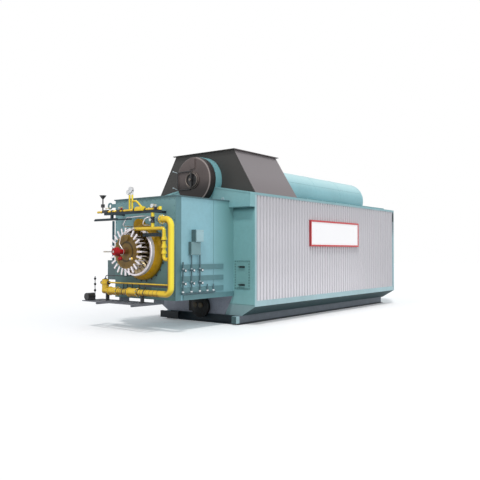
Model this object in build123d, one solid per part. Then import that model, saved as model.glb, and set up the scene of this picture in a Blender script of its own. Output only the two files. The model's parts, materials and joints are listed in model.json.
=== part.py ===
"""Skid-mounted industrial watertube boiler with a register burner, a gas train and a flue outlet hopper.

Millimetres, +Z up. The origin is on the ground, on the centreline, under the skid's front beam.
+Y runs from the front wall to the rear, +X is the side that carries the sign board.
"""
from build123d import *
import os
from math import atan2, cos, degrees, pi, sin, sqrt

os.makedirs("parts", exist_ok=True)

# Clearances between pieces
FIT_GAP = 0.5
SEAT_GAP = 0.3

# Casing: a long box with sloped lower corners and a low pitched roof
CASING_HALF = 1815.0
CASING_LENGTH = 8730.0
SKID_HEIGHT = 240.0
KEEL_INSET = 435.0
SILL_RISE = 260.0
CASING_HEIGHT = 3000.0
ROOF_RISE = 314.0
ROOF_SHEET = 40.0
CLAD_DEPTH = 40.0
CLAD_BACK = 10.0
RIB_PITCH = 146.5
RIB_CREST = 66.0
RIB_FLANK = 16.0
TRIM_PLATE = 4.0
SILL_BAND = 150.0
EAVES_BAND = 70.0
CORNER_BAND = 90.0
WALL_PLATE = 16.0
SEAM_STEP = 873.0
SEAM_WIDE = 36.0
SEAM_HIGH = 26.0

# Front wall pieces
FRONT_STRIP = 715.0
HEADER_DROP = 155.0
HEADER_REACH = 187.0
GABLE_BAND = 42.0
GABLE_PLATE = 12.0
EDGE_MARGIN = 22.0
DOOR_START = 56.0
DOOR_WIDTH = 506.0
DOOR_HEIGHT = 756.0
DOOR_RISE = 828.0
DOOR_PLATE = 14.0
LATCH_RISES = (-266.0, 209.0)
LATCH_LONG = 222.0
LATCH_REACH = 46.0
LATCH_PLATE = 16.0
LATCH_HIGH = 24.0
LOWER_PLATE = 10.0
LUG_X = 891.0
LUG_PLATE = 20.0
LUG_R = 50.0
LUG_HOLE_R = 20.0

# Steam drum
DRUM_LIFT = 96.0
LAGGING_R = 660.0
HEAD_STEP = 18.0
HEAD_FRONT = 370.0
HEAD_DISH = 62.0
HEAD_KNUCKLE = 45.0
COLLAR_REACH = 10.0
REAR_INSET = 290.0
REAR_DOME = 420.0
REAR_KNUCKLE = 195.0
DOME_SKIRT = 30.0
BAND_COUNT = 4
BAND_STEP = 1680.0
BAND_WIDE = 60.0
BAND_PLATE = 3.0
MANWAY_WIDE = 500.0
MANWAY_HIGH = 463.0
MANWAY_RIM = 62.0
MANWAY_LIP = 34.0
MANWAY_REACH = 45.0
MANWAY_SUNK = 24.0
YOKE_WIDE = 52.0
YOKE_DEEP = 34.0
HINGE_R = 15.0
HINGE_BEND = 45.0
HINGE_LEFT = 560.0
HINGE_SHORT = 80.0
HEAD_LUG_WIDE = 180.0
HEAD_LUG_LOW = 310.0
HEAD_LUG_HIGH = 625.0
HEAD_LUG_REACH = 22.0

# Mud drum end
MUD_DROP = 326.0
MUD_R = 320.0
MUD_NECK_R = 170.0
MUD_SHELL = 60.0
MUD_DISH = 95.0
MUD_KNUCKLE = 40.0
MUD_BLOCK_OUT = 75.0
MUD_BLOCK_IN = 160.0
MUD_BLOCK_HALF = 148.0
MUD_BLOCK_DEEP = 90.0

# Windbox
WINDBOX_REACH = 2200.0
WINDBOX_DROP = 635.0
WINDBOX_BOTTOM = 760.0
WINDBOX_LIP = 30.0
WINDBOX_FRAME = 190.0
FRAME_PLATE = 6.0
SIDE_FLANGE = 125.0
FLANGE_REACH = 30.0

# Flue outlet hopper
HOPPER_FRONT = 40.0
HOPPER_LENGTH = 2005.0
HOPPER_REAR_LEAN = 60.0
HOPPER_TOP_INSET = 735.0
OUTLET_RISE = 140.0
HOPPER_WALL = 12.0
OUTLET_FLANGE = 75.0
OUTLET_FLANGE_PLATE = 16.0
FLANGE_BOLT_R = 9.0
HATCH_WIDE = 440.0
HATCH_HIGH = 485.0
HATCH_PLATE = 14.0
HATCH_FRAME = 40.0

# Skid
RAIL_SETBACK = 25.0
RAIL_WIDE = 160.0
RAIL_FLANGE = 18.0
RAIL_WEB = 14.0
BEAM_WIDE = 120.0
CROSS_COUNT = 3
BRACKET_DEEP = 140.0
BRACKET_FOOT = 45.0
BRACKET_STEP = 10.0
LEFT_BLOCK_WIDE = 710.0
LEFT_BLOCK_DEEP = 70.0
LEFT_BLOCK_FOOT = 50.0
LEFT_BLOCK_OUT = 60.0

# Burner
BURNER_RISE = 1180.0
SCROLL_R = 705.0
SCROLL_SKIRT = 50.0
SCROLL_BULGE = 22.0
SCROLL_LOBE_X = -110.0
SCROLL_LOBE_R = 165.0
SCROLL_LOBE_RISE = 665.0
SCROLL_LOBE_DEEP = 110.0
RING_STANDOFF = 285.0
RING_R = 575.0
RING_TUBE = 26.0
RING_DEEP = 80.0
HUB_R = 140.0
FACE_R = 415.0
FACE_PLATE = 20.0
FACE_STANDOFF = 275.0
BOSS_R = 60.0
BOSS_LONG = 90.0
VANE_COUNT = 24
VANE_DEPTH = 120.0
VANE_PLATE = 5.0
VANE_PITCH = 38.0
CANE_COUNT = 24
CANE_REACH = 315.0
CANE_PIPE_R = 14.0
CANE_OUTER = 580.0
CANE_WIDE = 44.0
CANE_SHORT = 15.0
CANE_THICK = 24.0
PORT_R = 70.0
PORT_DEEP = 50.0
PORT_X = 40.0
PORT_RISE = 335.0
GAS_TUBE_R = 12.0
GUN_R = 62.0
GUN_LONG = 300.0
GUN_BELL_R = 115.0
PIN_R = 14.0
PIN_LONG = 300.0

# Gas train in front of the windbox
TRAIN_STANDOFF = 400.0
MAIN_OUT = 249.0
MAIN_PIPE_R = 76.0
MAIN_BEND = 170.0
MAIN_LOW_RISE = 188.0
MAIN_TOP_DROP = 575.0
MAIN_LEFT = 1060.0
PIPE_FLANGE_R = 112.0
PIPE_FLANGE_PLATE = 26.0
VALVE_BODY_R = 98.0
VALVE_STARTS = (236.0, 961.0)
VALVE_LONGS = (310.0, 328.0)
INLET_RUN = 150.0
INLET_R = 68.0
ACTUATOR_R = 88.0
ACTUATOR_RIM_R = 112.0
ACTUATOR_HIGH = 290.0
KNOB_R = 46.0
KNOB_LONG = 40.0
MOTOR_R = 94.0
MOTOR_LONG = 220.0
BRANCH_IN = 229.0
BRANCH_PIPE_R = 45.0
BRANCH_LOW_RISE = 998.0
BRANCH_TOP_RISE = 550.0
BRANCH_BEND = 70.0
BRANCH_LEFT = 110.0
DROP_INSET = 366.0
DROP_R = 42.0
CONE_R = 72.0
PILOT_DROP = 315.0
PILOT_PIPE_R = 28.0
PILOT_OVER = 226.0
PILOT_END_SHARE = 0.892
CHANNEL_DEPTH = 60.0
CHANNEL_LEFT_SHORT = 60.0
CHANNEL_RIGHT_SHORT = 85.0
ARM_INSET = 340.0
DAVIT_DROP = 140.0
DAVIT_OVER = 348.0
DAVIT_RIGHT = 40.0
SADDLE_R = 38.0
REGULATOR_R = 80.0
ELBOW_R = 42.0
ELBOW_RISE = 50.0
GAUGE_R = 74.0
GAUGE_RISE = 505.0
GAUGE_THICK = 54.0
SMALL_GAUGE_R = 48.0
STEM_R = 25.0
STEM_SPREAD = 50.0
STEM_SHORT = 125.0
VENT_R = 16.0
VENT_RISE = 370.0
THIN_PIPE_R = 20.0
THIN_PIPE_RISE = 212.0
BAR_LONG = 956.0
BAR_HIGH = 46.0

# Places and lengths along the pilot line, as shares of the windbox's half width
SADDLE_SHARES = (-0.676, -0.303, 0.071, 0.445, 0.818)
SADDLE_WIDE_SHARE = 0.0327
PILOT_BODIES = ((-0.909, 0.182, 50.0), (-0.445, 0.1, 44.0), (0.764, 0.0545, 50.0))
REGULATOR_SHARE = 0.269
REGULATOR_LONG_SHARE = 0.227
GAUGE_SHARE = -0.038
SMALL_GAUGE_SHARE = 0.659
VENT_SHARE = -1.0236

# Bent gas tubes round the burner, as (x, rise over the burner's centre)
TUBE_TO_HUB = ((190.0, 550.0), (60.0, 500.0), (-120.0, 390.0), (-175.0, 190.0))
TUBE_OVER_SCROLL = ((-425.0, 645.0), (-270.0, 850.0), (310.0, 870.0))
TUBE_BESIDE_SCROLL = ((370.0, 645.0), (450.0, 785.0), (570.0, 835.0))

# Tray under the low pipe
TRAY_DROP = 60.0
TRAY_THICK = 24.0
TRAY_LEFT = 1500.0
TRAY_RIGHT = 700.0
TRAY_DEPTH = 640.0
TRAY_GAP = 110.0
TRAY_SLOTS = 8
POST_HALF = 26.0
BEARER_HIGH = 50.0
BEARER_SEAT = 300.0

# Fittings on the windbox's right side
SIDE_PIPE_R = 17.0
STRUT_HIGH = 125.0
STRUT_DEEP = 32.0
STRUT_END = 450.0
STRUT_RISES = (245.0, 520.0, 805.0)
DRAIN_RISE = 158.0
DRAIN_STARTS = (210.0, 510.0, 815.0)
SHORT_STARTS = (1097.0, 1329.0)
SHORT_HIGH = 205.0
SIDE_VALVE_RISES = (405.0, 723.0)
SIDE_VALVE_R = 34.0
SIDE_VALVE_HALF = 18.0
SIDE_KNOB_R = 40.0
SIDE_KNOB_REACH = 84.0
SIDE_KNOB_PLATE = 14.0
SIDE_BOX_RISE = 1097.0
SWITCH_BOX = (90.0, 350.0, 326.0)
TERMINAL_BOX = (150.0, 280.0, 302.0)
LEFT_BOX = (345.0, 260.0, 510.0)
LEFT_BOX_RISE = 445.0
LEFT_CONDUIT_R = 32.0
LEFT_CONDUIT_DROP = 515.0
EYE_R = 90.0
EYE_HOLE_R = 46.0
EYE_REACH = 235.0
EYE_DROP = 125.0

# Sign board
SIGN_START = 2700.0
SIGN_LENGTH = 3057.0
SIGN_LOW = 2103.0
SIGN_HEIGHT = 787.0
SIGN_DEPTH = 60.0
SIGN_EDGE = 50.0
SIGN_RECESS = 12.0

# Places worked out from the sizes above
sill_z = SKID_HEIGHT + SILL_RISE
eaves_z = sill_z + CASING_HEIGHT
ridge_z = eaves_z + ROOF_RISE
keel_half = CASING_HALF - KEEL_INSET
core_half = CASING_HALF - CLAD_DEPTH
windbox_half = CASING_HALF - FRONT_STRIP
rail_outer = keel_half - RAIL_SETBACK
drum_z = ridge_z + DRUM_LIFT
head_r = LAGGING_R - HEAD_STEP
windbox_top = drum_z - WINDBOX_DROP
header_z = windbox_top - HEADER_DROP
lagging_end = CASING_LENGTH - REAR_INSET
hopper_top = drum_z + LAGGING_R + OUTLET_RISE
hopper_rear = HOPPER_FRONT + HOPPER_LENGTH
hopper_top_half = CASING_HALF - HOPPER_TOP_INSET
rear_face = CASING_LENGTH - WALL_PLATE
wind_y = -WINDBOX_REACH
train_y = wind_y - TRAIN_STANDOFF
burner_z = WINDBOX_BOTTOM + BURNER_RISE
ring_y = wind_y - RING_STANDOFF
main_x = windbox_half + MAIN_OUT
main_low_z = WINDBOX_BOTTOM + MAIN_LOW_RISE
main_top_z = windbox_top - MAIN_TOP_DROP
branch_x = main_x - BRANCH_IN
branch_low_z = WINDBOX_BOTTOM + BRANCH_LOW_RISE
branch_top_z = burner_z + BRANCH_TOP_RISE
pilot_z = windbox_top - PILOT_DROP
pilot_left = windbox_half + PILOT_OVER
pilot_right = windbox_half * PILOT_END_SHARE
channel_top = pilot_z - PILOT_PIPE_R - SEAT_GAP
half_channel = CHANNEL_DEPTH / 2
channel_low = channel_top - CHANNEL_DEPTH
channel_left = windbox_half - CHANNEL_LEFT_SHORT
channel_right = windbox_half - CHANNEL_RIGHT_SHORT
tray_z = WINDBOX_BOTTOM - TRAY_DROP
tray_back = wind_y - TRAY_GAP
tray_front = tray_back - TRAY_DEPTH
beam_front = -BEAM_WIDE / 2


def block(x0, x1, y0, y1, z0, z1):
    """A box between two opposite corners."""
    return Pos(x0, y0, z0) * Box(x1 - x0, y1 - y0, z1 - z0, align=(Align.MIN, Align.MIN, Align.MIN))


def rod(start, end, radius):
    """A round bar between two points."""
    a = Vector(*start)
    b = Vector(*end)
    plane = Plane(origin=a, z_dir=(b - a).normalized())
    return plane * Cylinder(radius, (b - a).length, align=(Align.CENTER, Align.CENTER, Align.MIN))


def cone(start, end, r0, r1):
    """A tapered round bar between two points."""
    a = Vector(*start)
    b = Vector(*end)
    plane = Plane(origin=a, z_dir=(b - a).normalized())
    return plane * Cone(r0, r1, (b - a).length, align=(Align.CENTER, Align.CENTER, Align.MIN))


def pipe(points, radius, bend):
    """A round pipe along straight runs joined by bends of one radius."""
    line = FilletPolyline(*points, radius=bend)
    first = Vector(*points[0])
    heading = (Vector(*points[1]) - first).normalized()
    section = Plane(origin=first, z_dir=heading) * Circle(radius)
    return sweep(section, path=line)


def prism_x(points, x0, x1):
    """An outline given as (y, z) points, extruded from x0 to x1."""
    wire = Polyline(*[(x0, y, z) for y, z in points], close=True)
    return extrude(make_face(wire), amount=x1 - x0, dir=(1, 0, 0))


def prism_y(points, y0, y1):
    """An outline given as (x, z) points, extruded from y0 to y1."""
    wire = Polyline(*[(x, y0, z) for x, z in points], close=True)
    return extrude(make_face(wire), amount=y1 - y0, dir=(0, 1, 0))


def prism_z(points, z0, z1):
    """An outline given as (x, y) points, extruded from z0 to z1."""
    wire = Polyline(*[(x, y, z0) for x, y in points], close=True)
    return extrude(make_face(wire), amount=z1 - z0, dir=(0, 0, 1))


def turned(points, z):
    """A profile given as (radius, y) points, turned about the line x = 0 at height z."""
    face = make_face(Polyline(*[(r, y, 0) for r, y in points], close=True))
    return Pos(0, 0, z) * revolve(face, axis=Axis((0, 0, 0), (0, 1, 0)))


def turned_face(edges, z):
    """A closed outline of lines and arcs in (radius, y), turned about the line x = 0 at height z."""
    return Pos(0, 0, z) * revolve(make_face(edges), axis=Axis((0, 0, 0), (0, 1, 0)))


def domed_drum(radius, knuckle, flat_y, dome_y, end_y, z):
    """A drum end turned about x = 0: a cylinder from flat_y to dome_y and a dished dome up to end_y.

    The dome is a shallow crown with a knuckle of smaller radius that runs into the cylinder.
    """
    if end_y > dome_y:
        return Rot(0, 0, 180) * domed_drum(radius, knuckle, -flat_y, -dome_y, -end_y, z)
    depth = dome_y - end_y
    crown = ((radius - knuckle) ** 2 + depth ** 2 - knuckle ** 2) / (2 * (depth - knuckle))
    turn = degrees(atan2(crown - depth, radius - knuckle))
    edges = [CenterArc((0, end_y + crown), crown, 270, 90 - turn),
             CenterArc((radius - knuckle, dome_y), knuckle, -turn, turn),
             Line((radius, dome_y), (radius, flat_y)),
             Line((radius, flat_y), (0, flat_y)),
             Line((0, flat_y), (0, end_y))]
    return turned_face(edges, z)


def mirrored(solid):
    """The same solid on the other side of the centreline."""
    return mirror(solid, about=Plane.YZ)


def write(name, *solids):
    """Writes one sub-part as a STEP file."""
    shape = solids[0] if len(solids) == 1 else Compound(children=list(solids))
    export_step(shape, "parts/" + name + ".step")


def write_pair(name, *solids):
    """Writes solids with their mirror images as one sub-part."""
    write(name, *solids, *[mirrored(solid) for solid in solids])


def roof_z(x):
    """Height of the roof's outer face at a distance x from the centreline."""
    return eaves_z + ROOF_RISE * (1 - abs(x) / CASING_HALF)


# Room for the lagged drum in the roof, in the rear wall and in the header
drum_room = domed_drum(LAGGING_R + FIT_GAP, REAR_KNUCKLE + FIT_GAP, -HEADER_REACH - GABLE_PLATE - 1,
                       lagging_end + DOME_SKIRT, lagging_end + REAR_DOME + FIT_GAP, drum_z)

# Casing body under the cladding
core_keel = keel_half - CLAD_DEPTH
core_outline = [(-core_keel, SKID_HEIGHT), (core_keel, SKID_HEIGHT), (core_half, sill_z),
                (core_half, roof_z(core_half) - ROOF_SHEET), (0, ridge_z - ROOF_SHEET),
                (-core_half, roof_z(core_half) - ROOF_SHEET), (-core_half, sill_z)]
write("casing_body", prism_y(core_outline, WALL_PLATE, rear_face) - drum_room)

# Ribbed side cladding: one folded sheet profile with trapezoid ribs
sheet_y0 = CORNER_BAND
sheet_y1 = CASING_LENGTH - CORNER_BAND
sheet_z0 = sill_z + SILL_BAND
sheet_z1 = eaves_z - EAVES_BAND
valley_x = core_half + CLAD_BACK
crest_x = CASING_HALF - TRIM_PLATE
rib_count = int((sheet_y1 - sheet_y0) // RIB_PITCH)
rib_margin = (sheet_y1 - sheet_y0 - rib_count * RIB_PITCH) / 2
sheet = [(core_half, sheet_y0), (valley_x, sheet_y0)]
for i in range(rib_count):
    rib_y = sheet_y0 + rib_margin + (i + 0.5) * RIB_PITCH
    sheet.append((valley_x, rib_y - RIB_CREST / 2 - RIB_FLANK))
    sheet.append((crest_x, rib_y - RIB_CREST / 2))
    sheet.append((crest_x, rib_y + RIB_CREST / 2))
    sheet.append((valley_x, rib_y + RIB_CREST / 2 + RIB_FLANK))
sheet += [(valley_x, sheet_y1), (core_half, sheet_y1)]
cladding = prism_z(sheet, sheet_z0, sheet_z1)
write("cladding_right", cladding)
write("cladding_left", mirrored(cladding))

# Trim bands round the cladding
eaves_under = eaves_z - ROOF_SHEET
write_pair("sill_trims", block(core_half, CASING_HALF, WALL_PLATE, rear_face, sill_z, sheet_z0))
write_pair("eaves_trims", block(core_half, CASING_HALF, WALL_PLATE, rear_face, sheet_z1, eaves_under))
write_pair("corner_trims", block(core_half, CASING_HALF, WALL_PLATE, sheet_y0, sheet_z0, sheet_z1),
           block(core_half, CASING_HALF, sheet_y1, rear_face, sheet_z0, sheet_z1))

# Sloped lower panels under the sill trims
slope_outline = [(keel_half, SKID_HEIGHT), (CASING_HALF, sill_z), (core_half, sill_z),
                 (core_keel, SKID_HEIGHT)]
write_pair("lower_slope_panels", prism_y(slope_outline, WALL_PLATE, rear_face))

# Roof sheets from the eaves up to the drum lagging, with standing seams
roof_outline = [(CASING_HALF, eaves_z), (0, ridge_z), (0, ridge_z - ROOF_SHEET),
                (CASING_HALF, eaves_under)]
roof = prism_y(roof_outline, 0, CASING_LENGTH) - drum_room
seam_outline = [(CASING_HALF, eaves_z), (0, ridge_z), (0, ridge_z + SEAM_HIGH),
                (CASING_HALF, eaves_z + SEAM_HIGH)]
seam_y = CASING_LENGTH - SEAM_STEP
while seam_y > hopper_rear + SEAM_STEP / 2:
    roof += prism_y(seam_outline, seam_y - SEAM_WIDE / 2, seam_y + SEAM_WIDE / 2) - drum_room
    seam_y -= SEAM_STEP
write("roof_sheet_right", roof)
write("roof_sheet_left", mirrored(roof))

# Front and rear walls
wall_outline = [(-keel_half, SKID_HEIGHT), (keel_half, SKID_HEIGHT), (CASING_HALF, sill_z),
                (CASING_HALF, eaves_under), (0, ridge_z - ROOF_SHEET), (-CASING_HALF, eaves_under),
                (-CASING_HALF, sill_z)]
write("front_wall", prism_y(wall_outline, 0, WALL_PLATE) - drum_room)
write("rear_wall", prism_y(wall_outline, rear_face, CASING_LENGTH) - drum_room)

# Header panel over the windbox, with its folded gable edge and bottom edge
header_outline = [(-CASING_HALF, header_z), (CASING_HALF, header_z), (CASING_HALF, eaves_z), (0, ridge_z),
                  (-CASING_HALF, eaves_z)]
lid_top = windbox_top + WINDBOX_LIP
windbox_room = block(-windbox_half - FIT_GAP, windbox_half + FIT_GAP, -HEADER_REACH - GABLE_PLATE - 1, 1,
                     header_z - 1, lid_top)
header = prism_y(header_outline, -HEADER_REACH, 0) - drum_room - windbox_room
gable_outline = [(0, ridge_z), (CASING_HALF, eaves_z), (CASING_HALF, eaves_z - GABLE_BAND),
                 (0, ridge_z - GABLE_BAND)]
gable = prism_y(gable_outline, -HEADER_REACH - GABLE_PLATE, -HEADER_REACH) - drum_room
bottom_edge = block(windbox_half + EDGE_MARGIN, CASING_HALF, -HEADER_REACH - GABLE_PLATE, -HEADER_REACH,
                    header_z, header_z + GABLE_BAND)
for edge in (gable, mirrored(gable), bottom_edge, mirrored(bottom_edge)):
    header += edge
write("front_header", header)

# Lifting lugs standing on the windbox lid against the header
lug_y1 = -HEADER_REACH
lug_y0 = lug_y1 - LUG_PLATE
lug_foot = lid_top + SEAT_GAP
lug_hole_z = lug_foot + LUG_R
lug = block(LUG_X - LUG_R, LUG_X + LUG_R, lug_y0, lug_y1, lug_foot, lug_hole_z)
lug += rod((LUG_X, lug_y0, lug_hole_z), (LUG_X, lug_y1, lug_hole_z), LUG_R)
lug -= rod((LUG_X, lug_y0 - 1, lug_hole_z), (LUG_X, lug_y1 + 1, lug_hole_z), LUG_HOLE_R)
write_pair("lifting_lugs", lug)

# Windbox: a closed duct box with the burner's throat in its front, framed edges and a lid
throat_r = RING_R - RING_TUBE
throat_y = wind_y + VANE_DEPTH * 3
head_y = -HEAD_FRONT
tip_y = head_y - HEAD_DISH
head_room = domed_drum(head_r + FIT_GAP, HEAD_KNUCKLE + FIT_GAP, 1, head_y, tip_y - FIT_GAP, drum_z)
windbox = block(-windbox_half, windbox_half, wind_y, 0, WINDBOX_BOTTOM, windbox_top) - head_room
write("windbox_body", windbox - rod((0, wind_y - 1, burner_z), (0, throat_y, burner_z), throat_r))
lid_half = windbox_half + WINDBOX_LIP
lid = block(-lid_half, lid_half, wind_y - WINDBOX_LIP, -HEADER_REACH - GABLE_PLATE, windbox_top, lid_top)
write("windbox_lid", lid - head_room)
side_flange = block(windbox_half, windbox_half + FLANGE_REACH, wind_y + WINDBOX_FRAME + 60,
                    -GABLE_PLATE - DOOR_PLATE, WINDBOX_BOTTOM, WINDBOX_BOTTOM + SIDE_FLANGE)
corner_frame = block(windbox_half, windbox_half + FRAME_PLATE, wind_y, wind_y + WINDBOX_FRAME,
                     WINDBOX_BOTTOM, windbox_top)
strut_x = windbox_half + STRUT_DEEP
struts = []
for rise in STRUT_RISES:
    strut_z = WINDBOX_BOTTOM + rise
    struts.append(block(windbox_half, strut_x, wind_y + WINDBOX_FRAME + 20, -STRUT_END,
                        strut_z - STRUT_HIGH / 2, strut_z + STRUT_HIGH / 2))
eye_x = -windbox_half - EYE_REACH
eye_z = windbox_top - EYE_DROP
eye = block(eye_x, -windbox_half, wind_y, wind_y + LUG_PLATE, eye_z - LUG_R, eye_z + LUG_R)
eye += rod((eye_x, wind_y, eye_z), (eye_x, wind_y + LUG_PLATE, eye_z), EYE_R)
eye -= rod((eye_x, wind_y - 1, eye_z), (eye_x, wind_y + LUG_PLATE + 1, eye_z), EYE_HOLE_R)
write("windbox_side_flanges", side_flange, mirrored(side_flange), corner_frame,
      mirrored(corner_frame) + eye, *struts)

# Grey lower front plate under the windbox
lower_top = WINDBOX_BOTTOM
lower_low = SKID_HEIGHT + SEAT_GAP
lower_outline = [(-CASING_HALF + 30, sill_z - 20), (-windbox_half - 20, lower_top),
                 (windbox_half - 20, lower_top), (windbox_half - 290, lower_low), (-keel_half, lower_low)]
write("lower_front_plate", prism_y(lower_outline, -LOWER_PLATE, 0))

# Access doors at both sides of the windbox, with two latches each
door_x0 = windbox_half + DOOR_START
door_x1 = door_x0 + DOOR_WIDTH
door_z = sill_z + DOOR_RISE
write_pair("access_doors", block(door_x0, door_x1, -DOOR_PLATE, 0,
                                 door_z - DOOR_HEIGHT / 2, door_z + DOOR_HEIGHT / 2))
latches = []
latch_x = (door_x0 + door_x1) / 2
pivot_x = latch_x - LATCH_LONG / 3
latch_y = -DOOR_PLATE - LATCH_REACH
for rise in LATCH_RISES:
    latch_z = door_z + rise
    latch = rod((pivot_x, -DOOR_PLATE, latch_z), (pivot_x, latch_y + 1, latch_z), LATCH_HIGH / 2)
    latch += block(latch_x - LATCH_LONG / 2, latch_x + LATCH_LONG / 2, latch_y, latch_y + LATCH_PLATE,
                   latch_z - LATCH_HIGH / 2, latch_z + LATCH_HIGH / 2)
    latches.append(latch)
write_pair("door_latches", *latches)

# Steam drum: lagging, rear dome and its bands
dome_end = lagging_end + REAR_DOME
lagging = rod((0, HOPPER_FRONT + SEAT_GAP, drum_z), (0, lagging_end, drum_z), LAGGING_R)
write("drum_rear_dome", domed_drum(LAGGING_R, REAR_KNUCKLE, lagging_end, lagging_end + DOME_SKIRT,
                                   dome_end, drum_z))
band_floor = prism_y([(CASING_HALF, roof_z(CASING_HALF) + SEAM_HIGH), (0, ridge_z + SEAM_HIGH),
                      (-CASING_HALF, roof_z(CASING_HALF) + SEAM_HIGH), (-CASING_HALF, 0), (CASING_HALF, 0)],
                     0, CASING_LENGTH)
for i in range(BAND_COUNT):
    band_y = lagging_end - i * BAND_STEP
    band = rod((0, band_y - BAND_WIDE, drum_z), (0, band_y, drum_z), LAGGING_R + BAND_PLATE)
    lagging += band - band_floor
write("drum_lagging", lagging)

# Steam drum: dished front head with its manway, and the collar round it
head = domed_drum(head_r, HEAD_KNUCKLE, HOPPER_FRONT, head_y, tip_y, drum_z)
manway_y0 = tip_y + 40
manway_y1 = tip_y - MANWAY_REACH


def manway_oval(inset, y0, y1):
    """An oval bar along the drum's line, smaller than the manway's rim by inset on each side."""
    face = Ellipse(MANWAY_WIDE / 2 - inset, MANWAY_HIGH / 2 - inset)
    return Pos(0, y0, drum_z) * (Rot(90, 0, 0) * extrude(face, y0 - y1))


# A lug for handling stands at the top of the head, cut to the head's own curve
head_lug = block(-HEAD_LUG_WIDE / 2, HEAD_LUG_WIDE / 2, tip_y - HEAD_LUG_REACH, head_y,
                 drum_z + HEAD_LUG_LOW, drum_z + HEAD_LUG_HIGH)
head_lug -= domed_drum(head_r, HEAD_KNUCKLE, 1, head_y - SEAT_GAP, tip_y - SEAT_GAP, drum_z)
write("steam_drum_head", head - manway_oval(-SEAT_GAP, manway_y0, tip_y - 1), head_lug)

# The manway's rim steps in once towards its mouth; the cover sits sunk in it under a yoke
manway_ring = manway_oval(0, manway_y0, manway_y1 + MANWAY_REACH / 2)
manway_ring += manway_oval(MANWAY_RIM - MANWAY_LIP, manway_y0, manway_y1)
write("manway_ring", manway_ring - manway_oval(MANWAY_RIM, manway_y0 + 1, manway_y1 - 1))
cover_y = manway_y1 + MANWAY_SUNK
yoke_y = manway_y1 - SEAT_GAP
yoke_half = MANWAY_HIGH / 2 - MANWAY_RIM + MANWAY_LIP
yoke = block(-YOKE_WIDE / 2, YOKE_WIDE / 2, yoke_y - YOKE_DEEP, yoke_y,
             drum_z - yoke_half, drum_z + yoke_half)
yoke += rod((0, cover_y, drum_z), (0, yoke_y - YOKE_DEEP - 40, drum_z), YOKE_WIDE / 3)
cover = manway_oval(MANWAY_RIM + SEAT_GAP, manway_y0, cover_y) + yoke

# The hinge frame beside the manway reaches over and under its rim
hinge_y = tip_y - HINGE_R - SEAT_GAP
hinge_high = MANWAY_HIGH / 2 + HINGE_R + SEAT_GAP
hinge = pipe([(0, hinge_y, drum_z + hinge_high), (-HINGE_LEFT, hinge_y, drum_z + hinge_high),
              (-HINGE_LEFT, hinge_y, drum_z - hinge_high), (-HINGE_SHORT, hinge_y, drum_z - hinge_high)],
             HINGE_R, HINGE_BEND)
write("manway_cover", cover, hinge)
collar_y = -HEADER_REACH - COLLAR_REACH
collar_in = head_r + SEAT_GAP
collar = turned([(collar_in, collar_y), (LAGGING_R, collar_y), (LAGGING_R, HOPPER_FRONT),
                 (collar_in, HOPPER_FRONT)], drum_z)
write("drum_collar", collar - block(-lid_half, lid_half, collar_y - 1, HOPPER_FRONT + 1,
                                    WINDBOX_BOTTOM, lid_top + FIT_GAP))

# Mud drum end under the windbox, in front of the skid's beam, with the black block beside it
mud_z = WINDBOX_BOTTOM - MUD_DROP
mud_back = beam_front - SEAT_GAP
mud_front = mud_back - MUD_SHELL
mud = domed_drum(MUD_R, MUD_KNUCKLE, mud_back, mud_front, mud_front - MUD_DISH, mud_z)
neck_z = mud_z + MUD_R - MUD_NECK_R - MUD_SHELL / 3
mud += rod((0, mud_back - MUD_SHELL / 3, neck_z), (0, -LOWER_PLATE, neck_z), MUD_NECK_R)
mud_block = block(-MUD_R - MUD_BLOCK_OUT, -MUD_BLOCK_IN, mud_back - MUD_BLOCK_DEEP, -LOWER_PLATE,
                  mud_z - MUD_BLOCK_HALF, mud_z + MUD_BLOCK_HALF)
mud_block -= rod((0, 0, mud_z), (0, -MUD_SHELL * 4, mud_z), MUD_R + SEAT_GAP)
mud_block -= block(-CASING_HALF, CASING_HALF, mud_back, 0, 0, SKID_HEIGHT + MUD_SHELL)
write("mud_drum_end", mud, mud_block)

# Flue outlet hopper: four plates round an open duct, over the drum and the roof
low_z = eaves_z - ROOF_RISE
side_slope = HOPPER_TOP_INSET / (hopper_top - eaves_z)
low_half = CASING_HALF + (eaves_z - low_z) * side_slope


def duct(inset, over):
    """The hopper's outline drawn in by inset, from under the eaves to the top, lengthened by over."""
    shift = inset * sqrt(1 + side_slope ** 2)
    top_z = hopper_top + over
    top_half = hopper_top_half - shift - over * side_slope
    outline = [(-low_half + shift, low_z), (low_half - shift, low_z), (top_half, top_z), (-top_half, top_z)]
    body = prism_y(outline, HOPPER_FRONT + inset, hopper_rear - inset)
    lean = HOPPER_REAR_LEAN / (hopper_top - eaves_z)
    rear_low = hopper_rear - inset + (eaves_z - low_z) * lean + 1
    rear_top = hopper_rear - inset - (top_z - eaves_z) * lean
    wedge = prism_x([(hopper_rear - inset, eaves_z), (rear_top, top_z + 1), (rear_low + 99, top_z + 1),
                     (rear_low + 99, eaves_z)], -low_half, low_half)
    return body - wedge


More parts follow.
